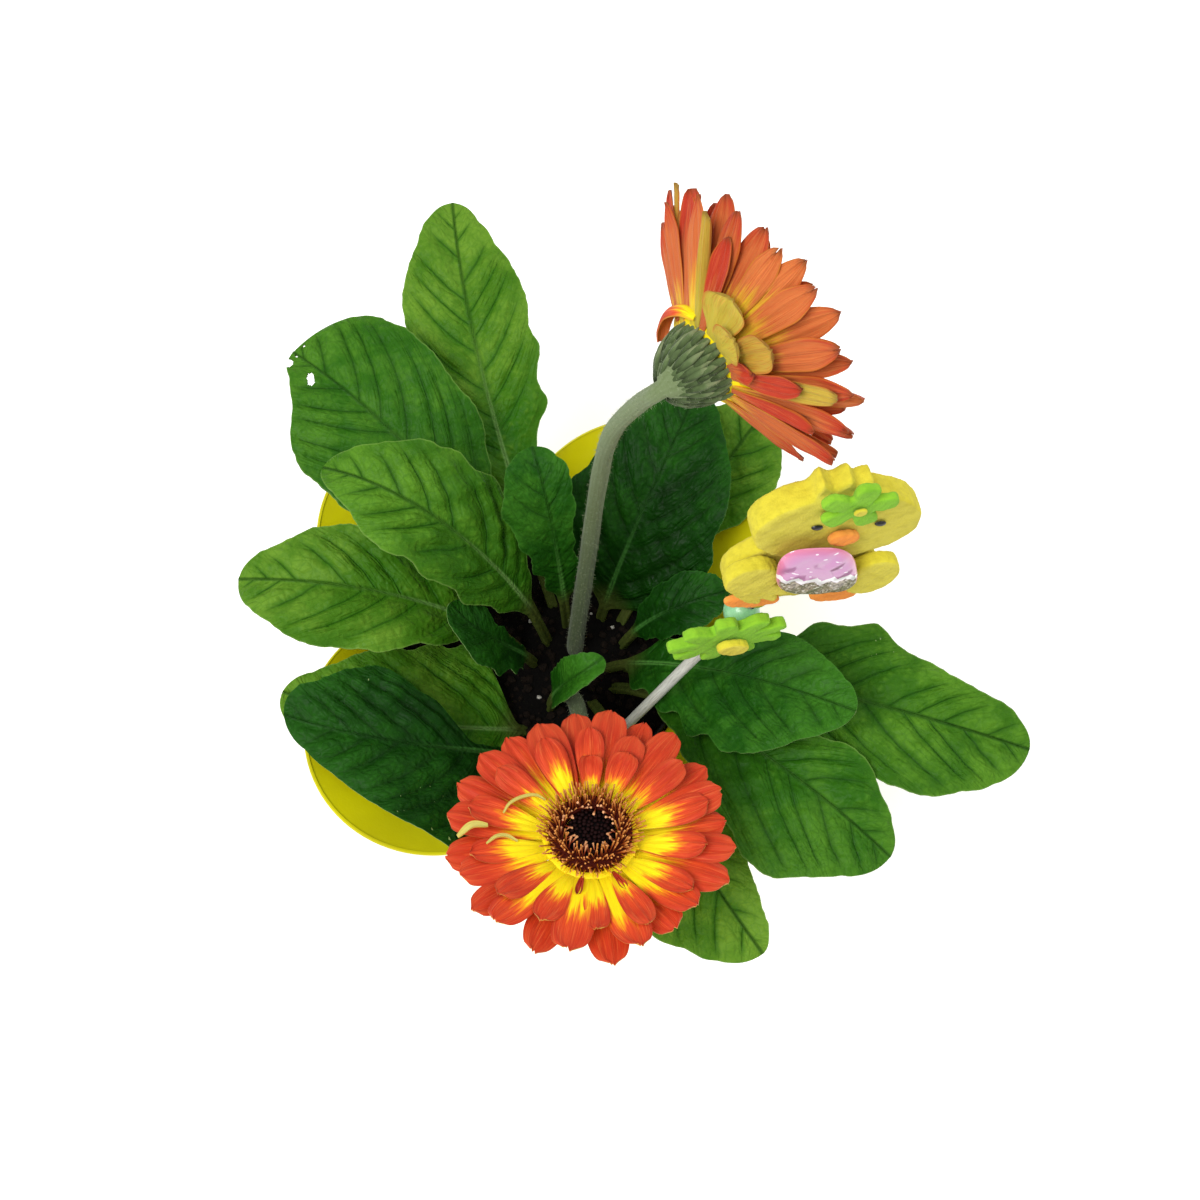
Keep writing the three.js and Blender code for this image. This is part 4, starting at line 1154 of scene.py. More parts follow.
@dataclass
class PotCover:
    """A thin cup whose wall flares above its throat into four broad petals."""

    base_radius: float = 39
    throat_radius: float = 53
    throat_height: float = 80
    wall: float = 0.8
    lobe_offset: float = 34
    lobe_radius: float = 43
    lobe_height: float = 101
    valley_height: float = 96
    bead: float = 0.8
    sides: int = 200
    rises: int = 16

    def rim_radius(self, angle: np.ndarray) -> np.ndarray:
        """The rim's distance from the axis, on the outermost of four circles."""
        from_diagonal = angle % (math.pi / 2) - math.pi / 4
        reach = self.lobe_offset * math.sqrt(2)
        off = reach * np.sin(from_diagonal)
        return reach * np.cos(from_diagonal) + np.sqrt(self.lobe_radius**2 - off**2)

    def ring(self, rise: float, inset: float, lift: float) -> np.ndarray:
        """A ring of the flare.

        Args:
            rise: 0 at the throat and 1 at the rim.
            inset: How far inside the outer face it lies.
            lift: How far above it.

        Returns:
            Its points.
        """
        angle = around(self.sides)
        rim_height = blend(self.valley_height, self.lobe_height, np.abs(np.sin(2 * angle)))
        radius = blend(self.throat_radius, self.rim_radius(angle), rise) - inset
        height = self.throat_height + (rim_height - self.throat_height) * rise**0.8 + lift
        return circle(angle, radius, height)

    def build(self) -> list[Thing]:
        """Turns the cup, flares its rim and rolls the rim's edge."""
        base, wall, bead = self.base_radius, self.wall, self.bead
        inset = wall * math.sqrt(0.5)
        steps = np.linspace(0, 1, self.rises)
        slope = (self.throat_radius - base) / self.throat_height
        outside = [(base - 5, 0.9), (base - 4, 0.0), (base - 0.7, 0.0), (base + 0.05, 0.7)]
        outside += [(base + slope * z, z) for z in (4, 20, 40, 60, 74)]
        inside = [(base - wall + slope * z, z + wall) for z in (60, 40, 20, 4)]
        inside.append((base - wall - 2, wall))
        outer, inner = ([circle(around(self.sides), *spot) for spot in side] for side in (outside, inside))
        outer += [self.ring(rise, 0, 0) for rise in steps]
        for turn in np.radians((-60, -15, 30, 75, 120)):
            outer.append(self.ring(1, inset / 2 - bead * math.cos(turn), inset / 2 + bead * math.sin(turn)))
        outer += [self.ring(rise, inset, inset) for rise in steps[::-1]]
        mesh = Draft().loft(np.stack([*outer, *inner])).mesh("pot_cover", COVER_PLASTIC, 40)
        return [present(mesh, "cover_shell", "cover", "pot_cover")]


@dataclass
class NurseryPot:
    """The grower's pot with a turned-out lip, standing in the cover."""

    floor: float = 1.1
    base_radius: float = 36.4
    neck: float = 76
    neck_radius: float = 49.6
    lip_radius: float = 51
    top: float = 80.5
    wall: float = 0.9
    sides: int = 96

    def build(self) -> list[Thing]:
        """Turns the pot with a rounded lip."""
        low, lip, top = self.floor, self.lip_radius, self.top
        profile = [
            (0, low), (self.base_radius - 0.6, low), (self.base_radius, low + 0.6),
            (self.neck_radius - 5, self.neck - 28), (self.neck_radius, self.neck),
            (lip - 0.2, self.neck + 0.6), (lip, self.neck + 1), (lip, top - 0.5), (lip - 0.35, top - 0.05),
            (lip - 0.9, top - 0.05), (lip - 1.2, top - 0.5), (self.base_radius - self.wall, low + self.wall),
            (0, low + self.wall),
        ]  # fmt: skip
        mesh = Draft().lathe(profile, self.sides).mesh("nursery_pot", NURSERY_PLASTIC, 35)
        return [present(mesh, "nursery_shell", "nursery", "nursery_pot")]


@dataclass
class Soil:
    """Compost that fills the nursery pot, crumbly on top and flecked with perlite."""

    radius: float = 48.3
    foot_radius: float = 35.2
    bottom: float = 2.3
    dip: float = 2.2
    roughness: float = 0.63
    rings: int = 34
    sides: int = 110
    crumbs: float = 0.11
    flecks: float = 0.006

    def bed(self) -> Mesh:
        """The soil's body with an uneven top."""
        angle = around(self.sides)
        share = np.linspace(1, 0.02, self.rings)[:, None]
        x, y = self.radius * share * np.cos(angle), self.radius * share * np.sin(angle)
        lumps = ((1, 7, 3), (0.5, 2.6, 8), (0.3, 1.1, 1))
        uneven = sum(height * wander(x / width, y / width, seed) for height, width, seed in lumps)
        top = np.stack([x, y, SOIL_TOP - self.dip * share**6 + self.roughness * uneven], -1)
        foot = circle(angle, self.foot_radius, self.bottom)
        grow = np.concatenate([[0.0, 0.0], np.ones(self.rings - 1)])[:, None]
        return Draft().loft(np.concatenate([foot[None], top]), grow=grow).mesh("bed", COMPOST, 80)

    def speck(self, seed: int) -> Mesh:
        """An uneven lump about two millimetres across."""
        ball = bmesh.new()
        bmesh.ops.create_icosphere(ball, subdivisions=1, radius=MM)
        for vertex in ball.verts:
            vertex.co *= 0.75 + 0.5 * chance(vertex.index, seed)
        made = bpy.data.meshes.new("speck")
        ball.to_mesh(made)
        ball.free()
        return made

    def build(self) -> list[Thing]:
        """Lays the bed and strews crumbs and perlite over it."""
        meshes = [self.bed()]
        strewn = ((3, CRUMB, self.crumbs, 0.5, 1.9, 11), (5, PERLITE, self.flecks, 0.45, 1.15, 29))
        for lump, finish, density, small, large, seed in strewn:
            sizes = {"Density": density * 1e6, "Small": small, "Large": large, "Lean": 3.0, "Seed": seed}
            meshes.append(scatter().grown(meshes[0], self.speck(lump), finish, **sizes))
        return [present(joined("soil_bed", meshes), "soil_bed", "soil", "soil")]


# ---- leaves ----


@dataclass(frozen=True)
class LeafShape:
    """One leaf. Angles are degrees anticlockwise from +X seen from above, lengths millimetres.

    Root is the angle and distance of the petiole's foot from the crown, toward and reach say where the
    tip lies, heights are above the soil for the midrib's two handles and its tip, bow bends the midrib
    to the left, share is the blade's part of the midrib, left and right are the half widths at the
    stations, cup is how steeply the halves rise, and lobes are the count and depth of the margin's cuts.
    Pucker is how strongly the blade bulges between its veins, crimp how deep the margin's fine scallops
    are, turn swings the blade's width about the midrib's heading, and shear keeps the width from turning
    as much as the midrib does. Each hole is how far it lies behind the tip and to the left of the
    midrib, and half its length and width.
    """

    name: str
    root: tuple[float, float]
    toward: float
    reach: float
    heights: tuple[float, float, float]
    bow: float
    share: float
    left: tuple[float, ...]
    right: tuple[float, ...]
    cup: float
    lobes: tuple[int, float]
    tone: LeafTone
    pucker: float = 1.0
    crimp: float = 0.25
    turn: float = 0.0
    shear: float = 0.0
    holes: tuple[tuple[float, float, float, float], ...] = ()


STATIONS = (0, 0.15, 0.3, 0.45, 0.6, 0.75, 0.9, 1)
NIBBLES = (
    (11.5, 3.4, 1.2, 1.2), (12.4, 4.3, 1.3, 1.3), (13.3, 5.2, 1.2, 1.2),
    (1.8, 4.4, 1.9, 1.8), (0.9, 5.8, 1.4, 1.2), (2.0, 0.4, 0.6, 0.5), (1.6, -4.4, 0.7, 0.6),
)  # fmt: skip
LIGHT, FRESH, MIDDLE, DARK, DEEP = LeafTone
LEAVES = (
    LeafShape("back", (108, 15), 105.7, 155, (31, 50, 53), 10, 0.7,
              (14, 23, 25, 24, 20, 12.5), (12, 19, 21, 21, 18, 11), 0.05, (4, 0.2), LIGHT),
    LeafShape("back_left", (134, 15), 136.7, 127.5, (40, 66, 58), -5, 0.7,
              (10, 21, 29, 31, 27, 12), (9, 21, 27, 28, 29, 26), 0.06, (3, 0.1), MIDDLE, 0.8, holes=NIBBLES),
    LeafShape("left_high", (150, 8), 154, 86, (62, 88, 74), -3, 0.75,
              (9, 16, 19, 19, 17, 9), (8, 18, 22, 22, 18, 10), 0.1, (4, 0.22), FRESH, 1.25, 0.6),
    LeafShape("centre_back", (98, 10), 105, 45, (52, 80, 77), 0, 0.72,
              (5, 8, 10.5, 13, 14.5, 11), (5, 8, 6.5, 7.5, 9, 8.5), 0.1, (4, 0.3), DARK, 1, 0.8),
    LeafShape("left", (176, 15), 175, 107, (44, 64, 50), 0, 0.75,
              (8, 15, 20, 22, 21, 13), (8, 15, 20, 20, 18, 11), 0.1, (3, 0.15), LIGHT),
    LeafShape("left_small", (188, 12), 181, 38, (27, 47, 55), 11, 0.72,
              (5, 8, 11, 12, 12, 8), (3, 4, 5, 6, 8, 7), 0.15, (4, 0.3), DEEP, 1, 0.8),
    LeafShape("left_under", (246, 28), 193, 97, (18, 26, 28), 13, 0.86,
              (14, 20, 24, 26, 20, 12), (30, 31, 28, 25, 20, 12), 0.05, (3, 0.12), LIGHT),
    LeafShape("front_left", (252, 38), 202, 96, (30, 56, 50), 14, 0.85,
              (12, 30, 40, 33, 22, 12), (2.5, 3.5, 17, 25, 21, 13), 0.1, (3, 0.15), DEEP, 1.2, shear=0.6),
    LeafShape("front", (292, 14), 299, 123, (26, 44, 35), -5, 0.75,
              (6, 11, 15, 15, 12, 8), (6, 14, 22, 27, 26, 16), 0.08, (3, 0.15), LIGHT),
    LeafShape("front_right", (318, 15), 322, 127, (35, 51, 37), 4, 0.75,
              (6, 10, 13, 16, 18, 11), (8, 16, 24, 30, 30.5, 18), 0.08, (4, 0.2), MIDDLE),
    LeafShape("right", (334, 9), 337, 96, (26, 50, 59), 4, 0.8,
              (9, 12, 16, 18, 16, 10), (12, 18, 24, 27.5, 25, 14), 0.12, (4, 0.3), DARK),
    LeafShape("far_right", (346, 15), 343.4, 153, (30, 44, 37), 1, 0.75,
              (10, 18, 27, 22, 16, 12), (8, 14, 21, 25, 26, 18), 0.06, (4, 0.25), FRESH),
    LeafShape("back_right", (54, 15), 61, 87, (34, 56, 53), -3, 0.85,
              (17, 24, 26, 24, 20, 12), (23, 28, 29, 27, 22, 13), 0.06, (3, 0.16), DEEP),
    LeafShape("behind", (30, 16), 50, 109, (16, 30, 30), 0, 0.7,
              (6, 12, 18, 20, 18, 10), (6, 12, 18, 20, 17, 9), 0.05, (3, 0.15), LIGHT),
    LeafShape("right_small", (12, 16), 12, 54, (22, 36, 34), 0, 0.7,
              (4, 8, 10, 11, 10, 7), (4, 8, 10, 11, 10, 7), 0.1, (3, 0.25), DEEP),
    LeafShape("young", (245, 20), 301.6, 20, (35, 53, 50), -8, 0.65,
              (4, 6, 7, 7.3, 6.5, 5), (4, 6, 7, 7.3, 6.5, 5), 0.35, (0, 0), DARK, 0.5, 0, 60),
)  # fmt: skip


@dataclass
class Leaf:
    """A petiole and a veined blade in one body."""

    shape: LeafShape
    seed: int
    stalk_half_width: float = 1.9
    stalk_rib: float = 2.1
    tip_rib: float = 0.35
    tip_from: float = 0.88
    tip_share: float = 0.8
    tip_blunt: float = 0.12
    wave: float = 0.07
    lobed_share: float = 0.7
    half_thickness: float = 0.32
    vein_spacing: float = 11.5
    scallop: float = 4.1
    full_width: float = 18
    bulge: float = 1.4
    vein_sink: float = 0.5
    quilt: float = 0.55
    sway: float = 0.9
    groove: float = 0.9
    groove_width: float = 3.2
    stalk_rows: int = 16
    blade_rows: int = 96
    columns: int = 45
    fine_share: float = 1.6

    def midrib(self, across: np.ndarray) -> Path:
        """The midrib, from the petiole's foot in the soil to the leaf's tip."""
        shape = self.shape
        (root_angle, root_distance), (first, second, tip) = shape.root, shape.heights
        foot = CROWN + circle(math.radians(root_angle), root_distance, -ROOT_DEPTH)
        end = CROWN + circle(math.radians(shape.toward), shape.reach, tip)
        handles = []
        for share, height, bend in ((0.12, first, 0.4), (0.6, second, 1.0)):
            point = blend(foot, end, share) + across * shape.bow * bend
            point[2] = SOIL_TOP + height
            handles.append(point)
        return Path.bezier([foot, *handles, end])

    def lobing(self, s: np.ndarray, lag: float) -> np.ndarray:
        """How much of a half blade's width the cuts between its lobes leave."""
        count, depth = self.shape.lobes
        low = np.clip(s / self.lobed_share, 0, 1)
        cut = 0.5 - 0.5 * np.cos(2 * math.pi * count * (low + lag))
        return 1 - depth * cut * np.sqrt(1 - low)

    def halves(self, s: np.ndarray, length: float) -> tuple[np.ndarray, np.ndarray]:
        """The right and left half widths at the shares s of a blade, with an uneven, scalloped margin."""
        past = np.maximum(0, (s - self.tip_from) / (1 - self.tip_from))
        rounding = np.sqrt(1 - (1 - self.tip_blunt**2) * past**2)
        made = []
        for side, lag, widths in ((-1, 0.08, self.shape.right), (1, 0, self.shape.left)):
            stations = [self.stalk_half_width, *widths, widths[-1] * self.tip_share]
            width = between(STATIONS, stations, s) * self.lobing(s, lag) * rounding
            nick = 0.35 * wander(s * 46, s * 21 + side, self.seed)
            nick += 0.2 * wander(s * 120, s * 71 - side, self.seed)
            waves = np.abs(np.sin(s * length / self.scallop + side + 0.5 * np.sin(9 * s)))
            nick += self.shape.crimp * (waves - 0.6)
            made.append(width + nick * ease(0.06, 0.2, s) * ease(0.0, 0.06, 1 - s))
        return made[0], made[1]

    def vein_phase(self, s: np.ndarray, length: float, lateral: np.ndarray) -> np.ndarray:
        """A field that is whole on each side vein and rises from the blade's base to its tip."""
        off = np.abs(lateral)
        run = s * length - blend(0.55, 1.15, s) * off - 0.021 * off**2
        uneven = 0.16 * np.sin(run / self.vein_spacing * 2.1 + self.seed)
        uneven += 0.08 * np.sin(run / 9 + 2 * self.seed)
        return run / self.vein_spacing + uneven + 0.25 * np.sign(lateral)

    def relief(
        self, s: np.ndarray, length: float, column: np.ndarray, half: np.ndarray, phase: np.ndarray
    ) -> np.ndarray:
        """How high the blade's middle surface lies over the midrib.

        Args:
            s: The share of the blade's length, a column of them.
            length: The blade's length.
            column: The share of the half width, -1 on the right edge and 1 on the left.
            half: The half width on the point's own side.
            phase: The field that is whole on each side vein.

        Returns:
            One height for each point of the blade's grid.
        """
        shape, lateral = self.shape, column * half
        off = np.abs(lateral)
        wave = self.wave * np.sin(10 * s + shape.toward)
        size = np.minimum(1, half / self.full_width) * shape.pucker * ease(0.0, 0.09, s)
        inside = ease(0.8, 5.5, off) * ease(0.0, 4.5, half - off)
        from_vein = np.abs((phase + 0.5) % 1 - 0.5) * 2
        lift = off * (shape.cup * np.minimum(1, 4 * s) + wave * column)
        lift = lift + size * inside * (self.bulge * ease(0.0, 0.8, from_vein) - self.vein_sink)
        lift = lift + size * self.quilt * wander(s * length / 3.0, lateral / 2.8, self.seed) * inside
        lift = lift + size * self.sway * wander(s * 17, column * 1.4, self.seed + 4) * np.abs(column) ** 3
        return lift - size * self.groove * bell(off, self.groove_width)

    def build(self) -> list[Thing]:
        """Draws the leaf's two faces with veins, puckers and a rib below."""
        shape = self.shape
        turn = math.radians(shape.toward + shape.turn)
        across = np.array([-math.sin(turn), math.cos(turn), 0.0])
        path = self.midrib(across)
        length = path.length * shape.share
        fine = self.fine_share if shape.holes else 1
        rows, columns = round(self.blade_rows * fine), round(self.columns * fine) // 2 * 2 + 1
        blade = 1 - (1 - np.linspace(0, 1, rows)) ** 1.2
        stalk = np.linspace(0, 1 - shape.share, self.stalk_rows, endpoint=False)
        run = np.concatenate([stalk, 1 - shape.share * (1 - blade)])
        s = np.concatenate([np.zeros(self.stalk_rows), blade])[:, None]
        spread = np.linspace(-1, 1, columns)
        column = np.sign(spread) * np.abs(spread) ** 1.3
        right, left = self.halves(s, length)
        half = np.where(column > 0, left, right)
        lateral = column * half
        off = np.abs(lateral)
        phase = self.vein_phase(s, length, lateral)
        lift = self.relief(s, length, column, half, phase)
        gone = np.zeros(lateral.shape, bool)
        for behind, beside, half_long, half_wide in shape.holes:
            away = ((1 - s) * length - behind) / half_long
            gone |= away**2 + ((lateral - beside) / half_wide) ** 2 < 1
        open_blade = ease(0.0, 0.09, s)
        rib_half = blend(self.stalk_half_width, 0.55, np.minimum(1, 1.25 * s))
        rib_round = np.sqrt(np.clip(1 - (off / rib_half) ** 2, 0, 1))
        rib_depth = blend(self.stalk_rib, self.tip_rib, np.minimum(1, 1.6 * s))
        taper = self.half_thickness * (1 - 0.6 * np.abs(column) ** 6)
        ridge = blend(0.75 * rib_round - 0.5 * bell(off, 0.7), 0.3 * rib_round, open_blade)
        frames = path.frames(run, across)
        frames.left = unit(blend(frames.left, across, shape.shear))
        top = frames.beside(lateral, lift + taper + ridge)
        bottom = frames.beside(lateral, lift - taper - rib_depth * rib_round)
        values = {"along": s, "phase": phase, "rib": off / rib_half, "grow": 1 - open_blade}
        values["edge"] = half - off + (1 - open_blade) * 3
        values["stalk"] = 1 - ease(0.0, 0.16, s + 0.004 * off)
        mesh = Draft().slab(top, bottom, gone[:-1, :-1], **values).mesh(shape.name, shape.tone.value, 60)
        return [present(mesh, f"blade_{shape.name}", "leaf", f"leaf_{shape.name}")]


# ---- blooms ----


@dataclass(frozen=True)
class Petal:
    """A petal's sizes: millimetres, degrees from the way the head faces, and its roll and colours."""

    root: float
    reach: float
    half_width: float
    level: float
    flare: float
    curl: float
    roll: float = 0.9
    olive: float = 0.0
    heat: float = 0.0


@dataclass(frozen=True)
class PetalRing:
    """One ring of like petals, how far it is turned, in petals, and how far it sags, in degrees."""

    count: int
    petal: Petal
    lag: float = 0
    sag: float = 0


@dataclass(frozen=True)
class Ribbon:
    """A curled petal: its degrees, radii and heights from foot to tip, its half width and if it is pale."""

    marks: tuple[tuple[float, float, float], ...]
    half_width: float
    pale: float


@dataclass(frozen=True)
class Bloom:
    """A bloom: its place, its way up from the soil, and its petals.

    Turn is the head's own, low the side where it sags, both in degrees. Strays are petals out of the
    rings, each at its degrees. Blunt and notch shape the petals' tips, and shift reddens the low side.
    """

    name: str
    centre: tuple[float, float, float]
    facing: tuple[float, float, float]
    turn: float
    low: float
    way: tuple[tuple[float, float, float], ...]
    rings: tuple[PetalRing, ...]
    strays: tuple[tuple[float, Petal], ...]
    ribbons: tuple[Ribbon, ...]
    finish: PetalFinish
    blunt: float
    notch: float
    shift: float

    def frame(self) -> Matrix:
        """The head's own frame: Z the way it faces, with its shift in millimetres."""
        z = Vector(self.facing).normalized()
        upright = Vector((0, 1, 0)) if abs(z.z) > 0.9 else Vector((0, 0, 1))
        x = upright.cross(z).normalized()
        basis = Matrix((x, z.cross(x), z)).transposed().to_4x4()
        return Matrix.Translation(self.centre) @ basis @ Matrix.Rotation(math.radians(self.turn), 4, "Z")


BLOOMS = (
    Bloom(
        "front", (17, -79.6, 142.4), (0, 0.3, 0.954), 6, 90,
        ((6, -14, 66), (7, -16.5, 80), (12, -28, 103), (15.5, -50, 117), (17, -72, 118)),
        (
            PetalRing(12, Petal(10, 42.5, 5.6, 3.4, 84, 2), 0, 8),
            PetalRing(12, Petal(10, 43, 5.7, 2.2, 80, 2), 0.5, 8),
            PetalRing(14, Petal(13.3, 36, 4.6, 1, 73, 6), 0.3, 6),
        ),
        (
            (60, Petal(13, 29, 4.9, 0.5, 68, 10, 0.5)),
            (84, Petal(13, 26, 4.2, 0.5, 62, 14, 0.8)),
            (254, Petal(13.4, 21, 1.5, 0.3, 74, 0, 1.2, heat=2.5)),
            (293, Petal(13.4, 22, 1.5, 0.3, 74, 0, 1.2, heat=2.5)),
        ),
        (
            Ribbon(((163, 26, 4.4), (155.5, 25.2, 4.4), (145.7, 22.8, 3.6), (138, 20.1, 2.8),
                    (135, 17.4, 1.6)), 0.55, 1),
            Ribbon(((185, 30.5, 5.6), (181, 27.4, 5.2), (180, 24.6, 4.2), (183, 21.6, 2.6)), 0.6, 1),
            Ribbon(((180, 38.5, 6.4), (175, 34.4, 6.8), (173.6, 29.9, 5.4)), 1.1, 1),
        ),
        PETAL_FRONT, 0.85, 0.4, -0.7,
    ),
    Bloom(
        "back", (48.2, 19.5, 252), (0.76, 0.635, -0.142), 12, 105,
        ((11, 0, 66), (11.3, 1, 80), (15.5, 14, 122), (19.5, 23, 168), (23, 20.5, 205), (30, 13.5, 237)),
        (
            PetalRing(18, Petal(10.5, 41, 4.0, 3.4, 65, 2), 0, 22),
            PetalRing(18, Petal(12, 43, 4.0, 2.2, 59, 4), 0.5, 20),
            PetalRing(12, Petal(13.3, 39, 4.2, 1, 51, 8), 0.3, 18),
        ),
        (
            (51, Petal(10, 40, 2.6, 3.5, 77, -6, 1.4, 1.0)),
            (19, Petal(13, 45.5, 0.5, 2.6, 60, -2, 0.6, 0.9)),
            (62, Petal(11, 36, 3.4, 3.6, 68, 0, -0.5, 0.0, 2.0)),
            (80, Petal(11, 25, 6.6, 3.6, 72, 8, -0.7, 1.0)),
            (114, Petal(11, 27, 5.4, 3.7, 76, 6, -0.6, 0.9)),
            (99, Petal(11, 20.5, 5.8, 3.9, 88, 8, -0.7, 1.0)),
            (127, Petal(10, 20, 3.2, 3.6, 92, -4, -0.6, 0.0, 2.0)),
            (142, Petal(11, 39, 3.6, 3.2, 70, 0, -0.5, 0.9)),
            (138, Petal(11, 31, 3.6, 3.8, 75, -2, -0.6, 0.0, 2.0)),
            (163, Petal(11, 34, 2.8, 3.8, 72, 0, 0.9, 0.0, 2.0)),
            (29, Petal(12, 43, 4.0, 2.8, 60, 0, -0.3, 0.0, 0.8)),
            (9, Petal(12, 46, 3.6, 3.0, 57, 0, -0.3, 0.0, 1.2)),
        ),
        (
            Ribbon(((50, 13.4, -2.6), (28, 14.8, -2.4), (2, 15.8, -2.6), (-20, 15.6, -3.6),
                    (-34, 14.4, -5.2)), 2.7, 0),
        ),
        PETAL_BACK, 0.1, 1.0, 1.5,
    ),
)  # fmt: skip


@dataclass
class Petals:
    """All the petals of a bloom on the disc they grow from."""

    bloom: Bloom
    hub_radius: float = 14.2
    hub_foot: float = 10
    half_thickness: float = 0.26
    crease: float = 0.34
    ripple: float = 0.55
    twist: float = 0.22
    rows: int = 30
    columns: int = 15
    stations: tuple[float, ...] = (0, 0.2, 0.42, 0.6, 0.74, 0.85, 0.93, 0.97, 1)
    foot_shares: tuple[float, ...] = (0.28, 0.52, 0.8, 0.95, 1)
    pointed_tip: tuple[float, ...] = (0.78, 0.52, 0.33, 0.06)
    blunt_tip: tuple[float, ...] = (1.0, 0.91, 0.74, 0.36)

    def breadth(self, s: np.ndarray, blunt: float) -> np.ndarray:
        """The blade's half width at the shares s, as part of its greatest."""
        tip = (blend(narrow, broad, blunt) for narrow, broad in zip(self.pointed_tip, self.blunt_tip))
        return between(self.stations, (*self.foot_shares, *tip), s)

    def petal(self, draft: Draft, angle: float, sizes: Petal, seed: float) -> None:
        """Draws one petal.

        Args:
            draft: Where it is drawn.
            angle: Its turn about the head, in radians.
            sizes: Its own sizes.
            seed: Picks its creases and twist.
        """
        dice = [2 * chance(seed, stream) - 1 for stream in range(31, 38)]
        s = 1 - (1 - np.linspace(0, 1, self.rows)) ** 1.25
        x = np.linspace(-1, 1, self.columns)
        length = sizes.reach - sizes.root
        lie = np.radians(sizes.flare + sizes.curl * s + 9 * dice[0] * (s**2 - 0.45) * s)[:, None]
        s = s[:, None]
        outward = np.array([math.cos(angle), math.sin(angle), 0.0])
        left = np.array([-outward[1], outward[0], 0.0])
        forward = outward * np.sin(lie) + UP * np.cos(lie)
        run = np.diff(s, axis=0, prepend=0.0) * length
        middle = outward * sizes.root - UP * sizes.level + np.cumsum(forward * run, axis=0)
        up = np.cross(forward, left)
        blunt = max(sizes.olive, self.bloom.blunt * (0.8 + 0.2 * dice[6]))
        half = self.breadth(s, blunt) * sizes.half_width
        bend = sizes.roll * ease(0.0, 0.5, s) + 0.12
        lateral = np.sin(bend * x) / bend * half
        lift = (1 - np.cos(bend * x)) / bend * half + lateral * self.twist * dice[3] * s**2
        lift += self.crease * np.cos(3.1 * math.pi * x + dice[1]) * (1 - x**2) * ease(0.05, 0.5, s)
        lift += self.ripple * wander(5 * s + dice[2] * 3, 2.2 * x, seed) * ease(0.3, 1, s)
        nick = 0.04 * bell(x - 0.3 * dice[4], 0.16) + 0.025 * bell(x + 0.45, 0.14)
        nick *= np.maximum(0, 0.8 + 1.4 * dice[5]) * self.bloom.notch * (1 - sizes.olive)
        back = -length * (nick * s**7 + 0.04 * blunt * x**2 * s**5)
        spine = middle[:, None] + forward[:, None] * back[..., None] + left * lateral[..., None]
        skin = self.half_thickness * (1 - 0.6 * x**6)
        top, bottom = (spine + up[:, None] * (lift + h)[..., None] for h in (skin, -skin))
        tint = chance(seed, 77) + self.bloom.shift * self.away(angle) + sizes.heat
        draft.slab(top, bottom, along=s, across=x, tint=tint, olive=sizes.olive)

    def curled(self, draft: Draft, ribbon: Ribbon) -> None:
        """Draws one curled petal through its marks."""
        path = Path.through([circle(math.radians(degrees), *spot) for degrees, *spot in ribbon.marks])
        s, x = np.linspace(0, 1, 28), np.linspace(-1, 1, 11)
        frames = path.frames(s, np.cross(path.forward(s), UP) if ribbon.pale else -UP)
        half = ribbon.half_width * np.sin(math.pi * (0.12 + 0.76 * s))[:, None] ** 0.7
        lift = -0.5 * half * x**2
        top, bottom = (frames.beside(half * x, lift + h) for h in (self.half_thickness, -self.half_thickness))
        along = 0.05 + 0.85 * (1 - ribbon.pale) * s[:, None]
        draft.slab(top, bottom, along=along, across=x, tint=0.6, olive=0.15 * ribbon.pale)

    def away(self, angle: float) -> float:
        """1 on the side of the head that sags, and 0 on the other."""
        return 0.5 - 0.5 * math.cos(angle - math.radians(self.bloom.low))

    def build(self) -> list[Thing]:
        """Draws the rings, the strays and the hub."""
        bloom, rim = self.bloom, self.hub_radius
        hub = [(0, -HUB_THICKNESS), (self.hub_foot, -HUB_THICKNESS), (rim, -0.6), (rim - 0.8, 0.0), (0, 0)]
        draft = Draft().lathe(hub, 48, along=0.1, tint=0.5)
        for row, ring in enumerate(bloom.rings):
            for i in range(ring.count):
                turned_by, longer, opened, wider = (2 * chance(i, k + 7 * row) - 1 for k in range(1, 5))
                angle = (i + ring.lag) / ring.count * 2 * math.pi + 0.05 * turned_by
                sag = ring.sag * float(ease(0.5, 0.8, self.away(angle)))
                own = replace(
                    ring.petal,
                    reach=ring.petal.reach * (1 + 0.05 * longer),
                    flare=ring.petal.flare + 2.2 * opened - sag,
                    half_width=ring.petal.half_width * (1 + 0.1 * wider),
                    roll=0.7 * chance(i, 50 + row) - 0.45,
                )
                self.petal(draft, angle, own, 10 * row + i)
        for k, (degrees, stray) in enumerate(bloom.strays):
            self.petal(draft, math.radians(degrees), stray, 60 + k)
        for ribbon in bloom.ribbons:
            self.curled(draft, ribbon)
        mesh = moved(draft.mesh(bloom.name, bloom.finish, 60), bloom.frame())
        return [present(mesh, f"ray_petals_{bloom.name}", "petal", f"petals_{bloom.name}")]


@dataclass(frozen=True)
class FloretRing:
    """A ring of tubular florets: how many, their radii, leans and sizes, and how wide they open."""

    count: int
    inner: float
    outer: float
    lean: float
    outer_lean: float
    length: float
    radius: float
    flare: float
    finish: GradedFinish


FLORETS = (
    FloretRing(80, 11.2, 13.0, 66, 84, 2.6, 0.24, 0.8, FLORET_OUTER),
    FloretRing(190, 9.8, 12.0, 28, 56, 5.0, 0.19, 1.2, FLORET),
    FloretRing(150, 8.4, 10.0, -8, 26, 5.4, 0.21, 1.2, FLORET),
    FloretRing(44, 8.2, 9.0, -50, -14, 4.4, 0.24, 1.5, FLORET_INNER),
)
BUDS = FloretRing(96, 0.2, 7.1, 0, math.degrees(0.1), 1.7, 0.62, 0.45, EYE_BUD)


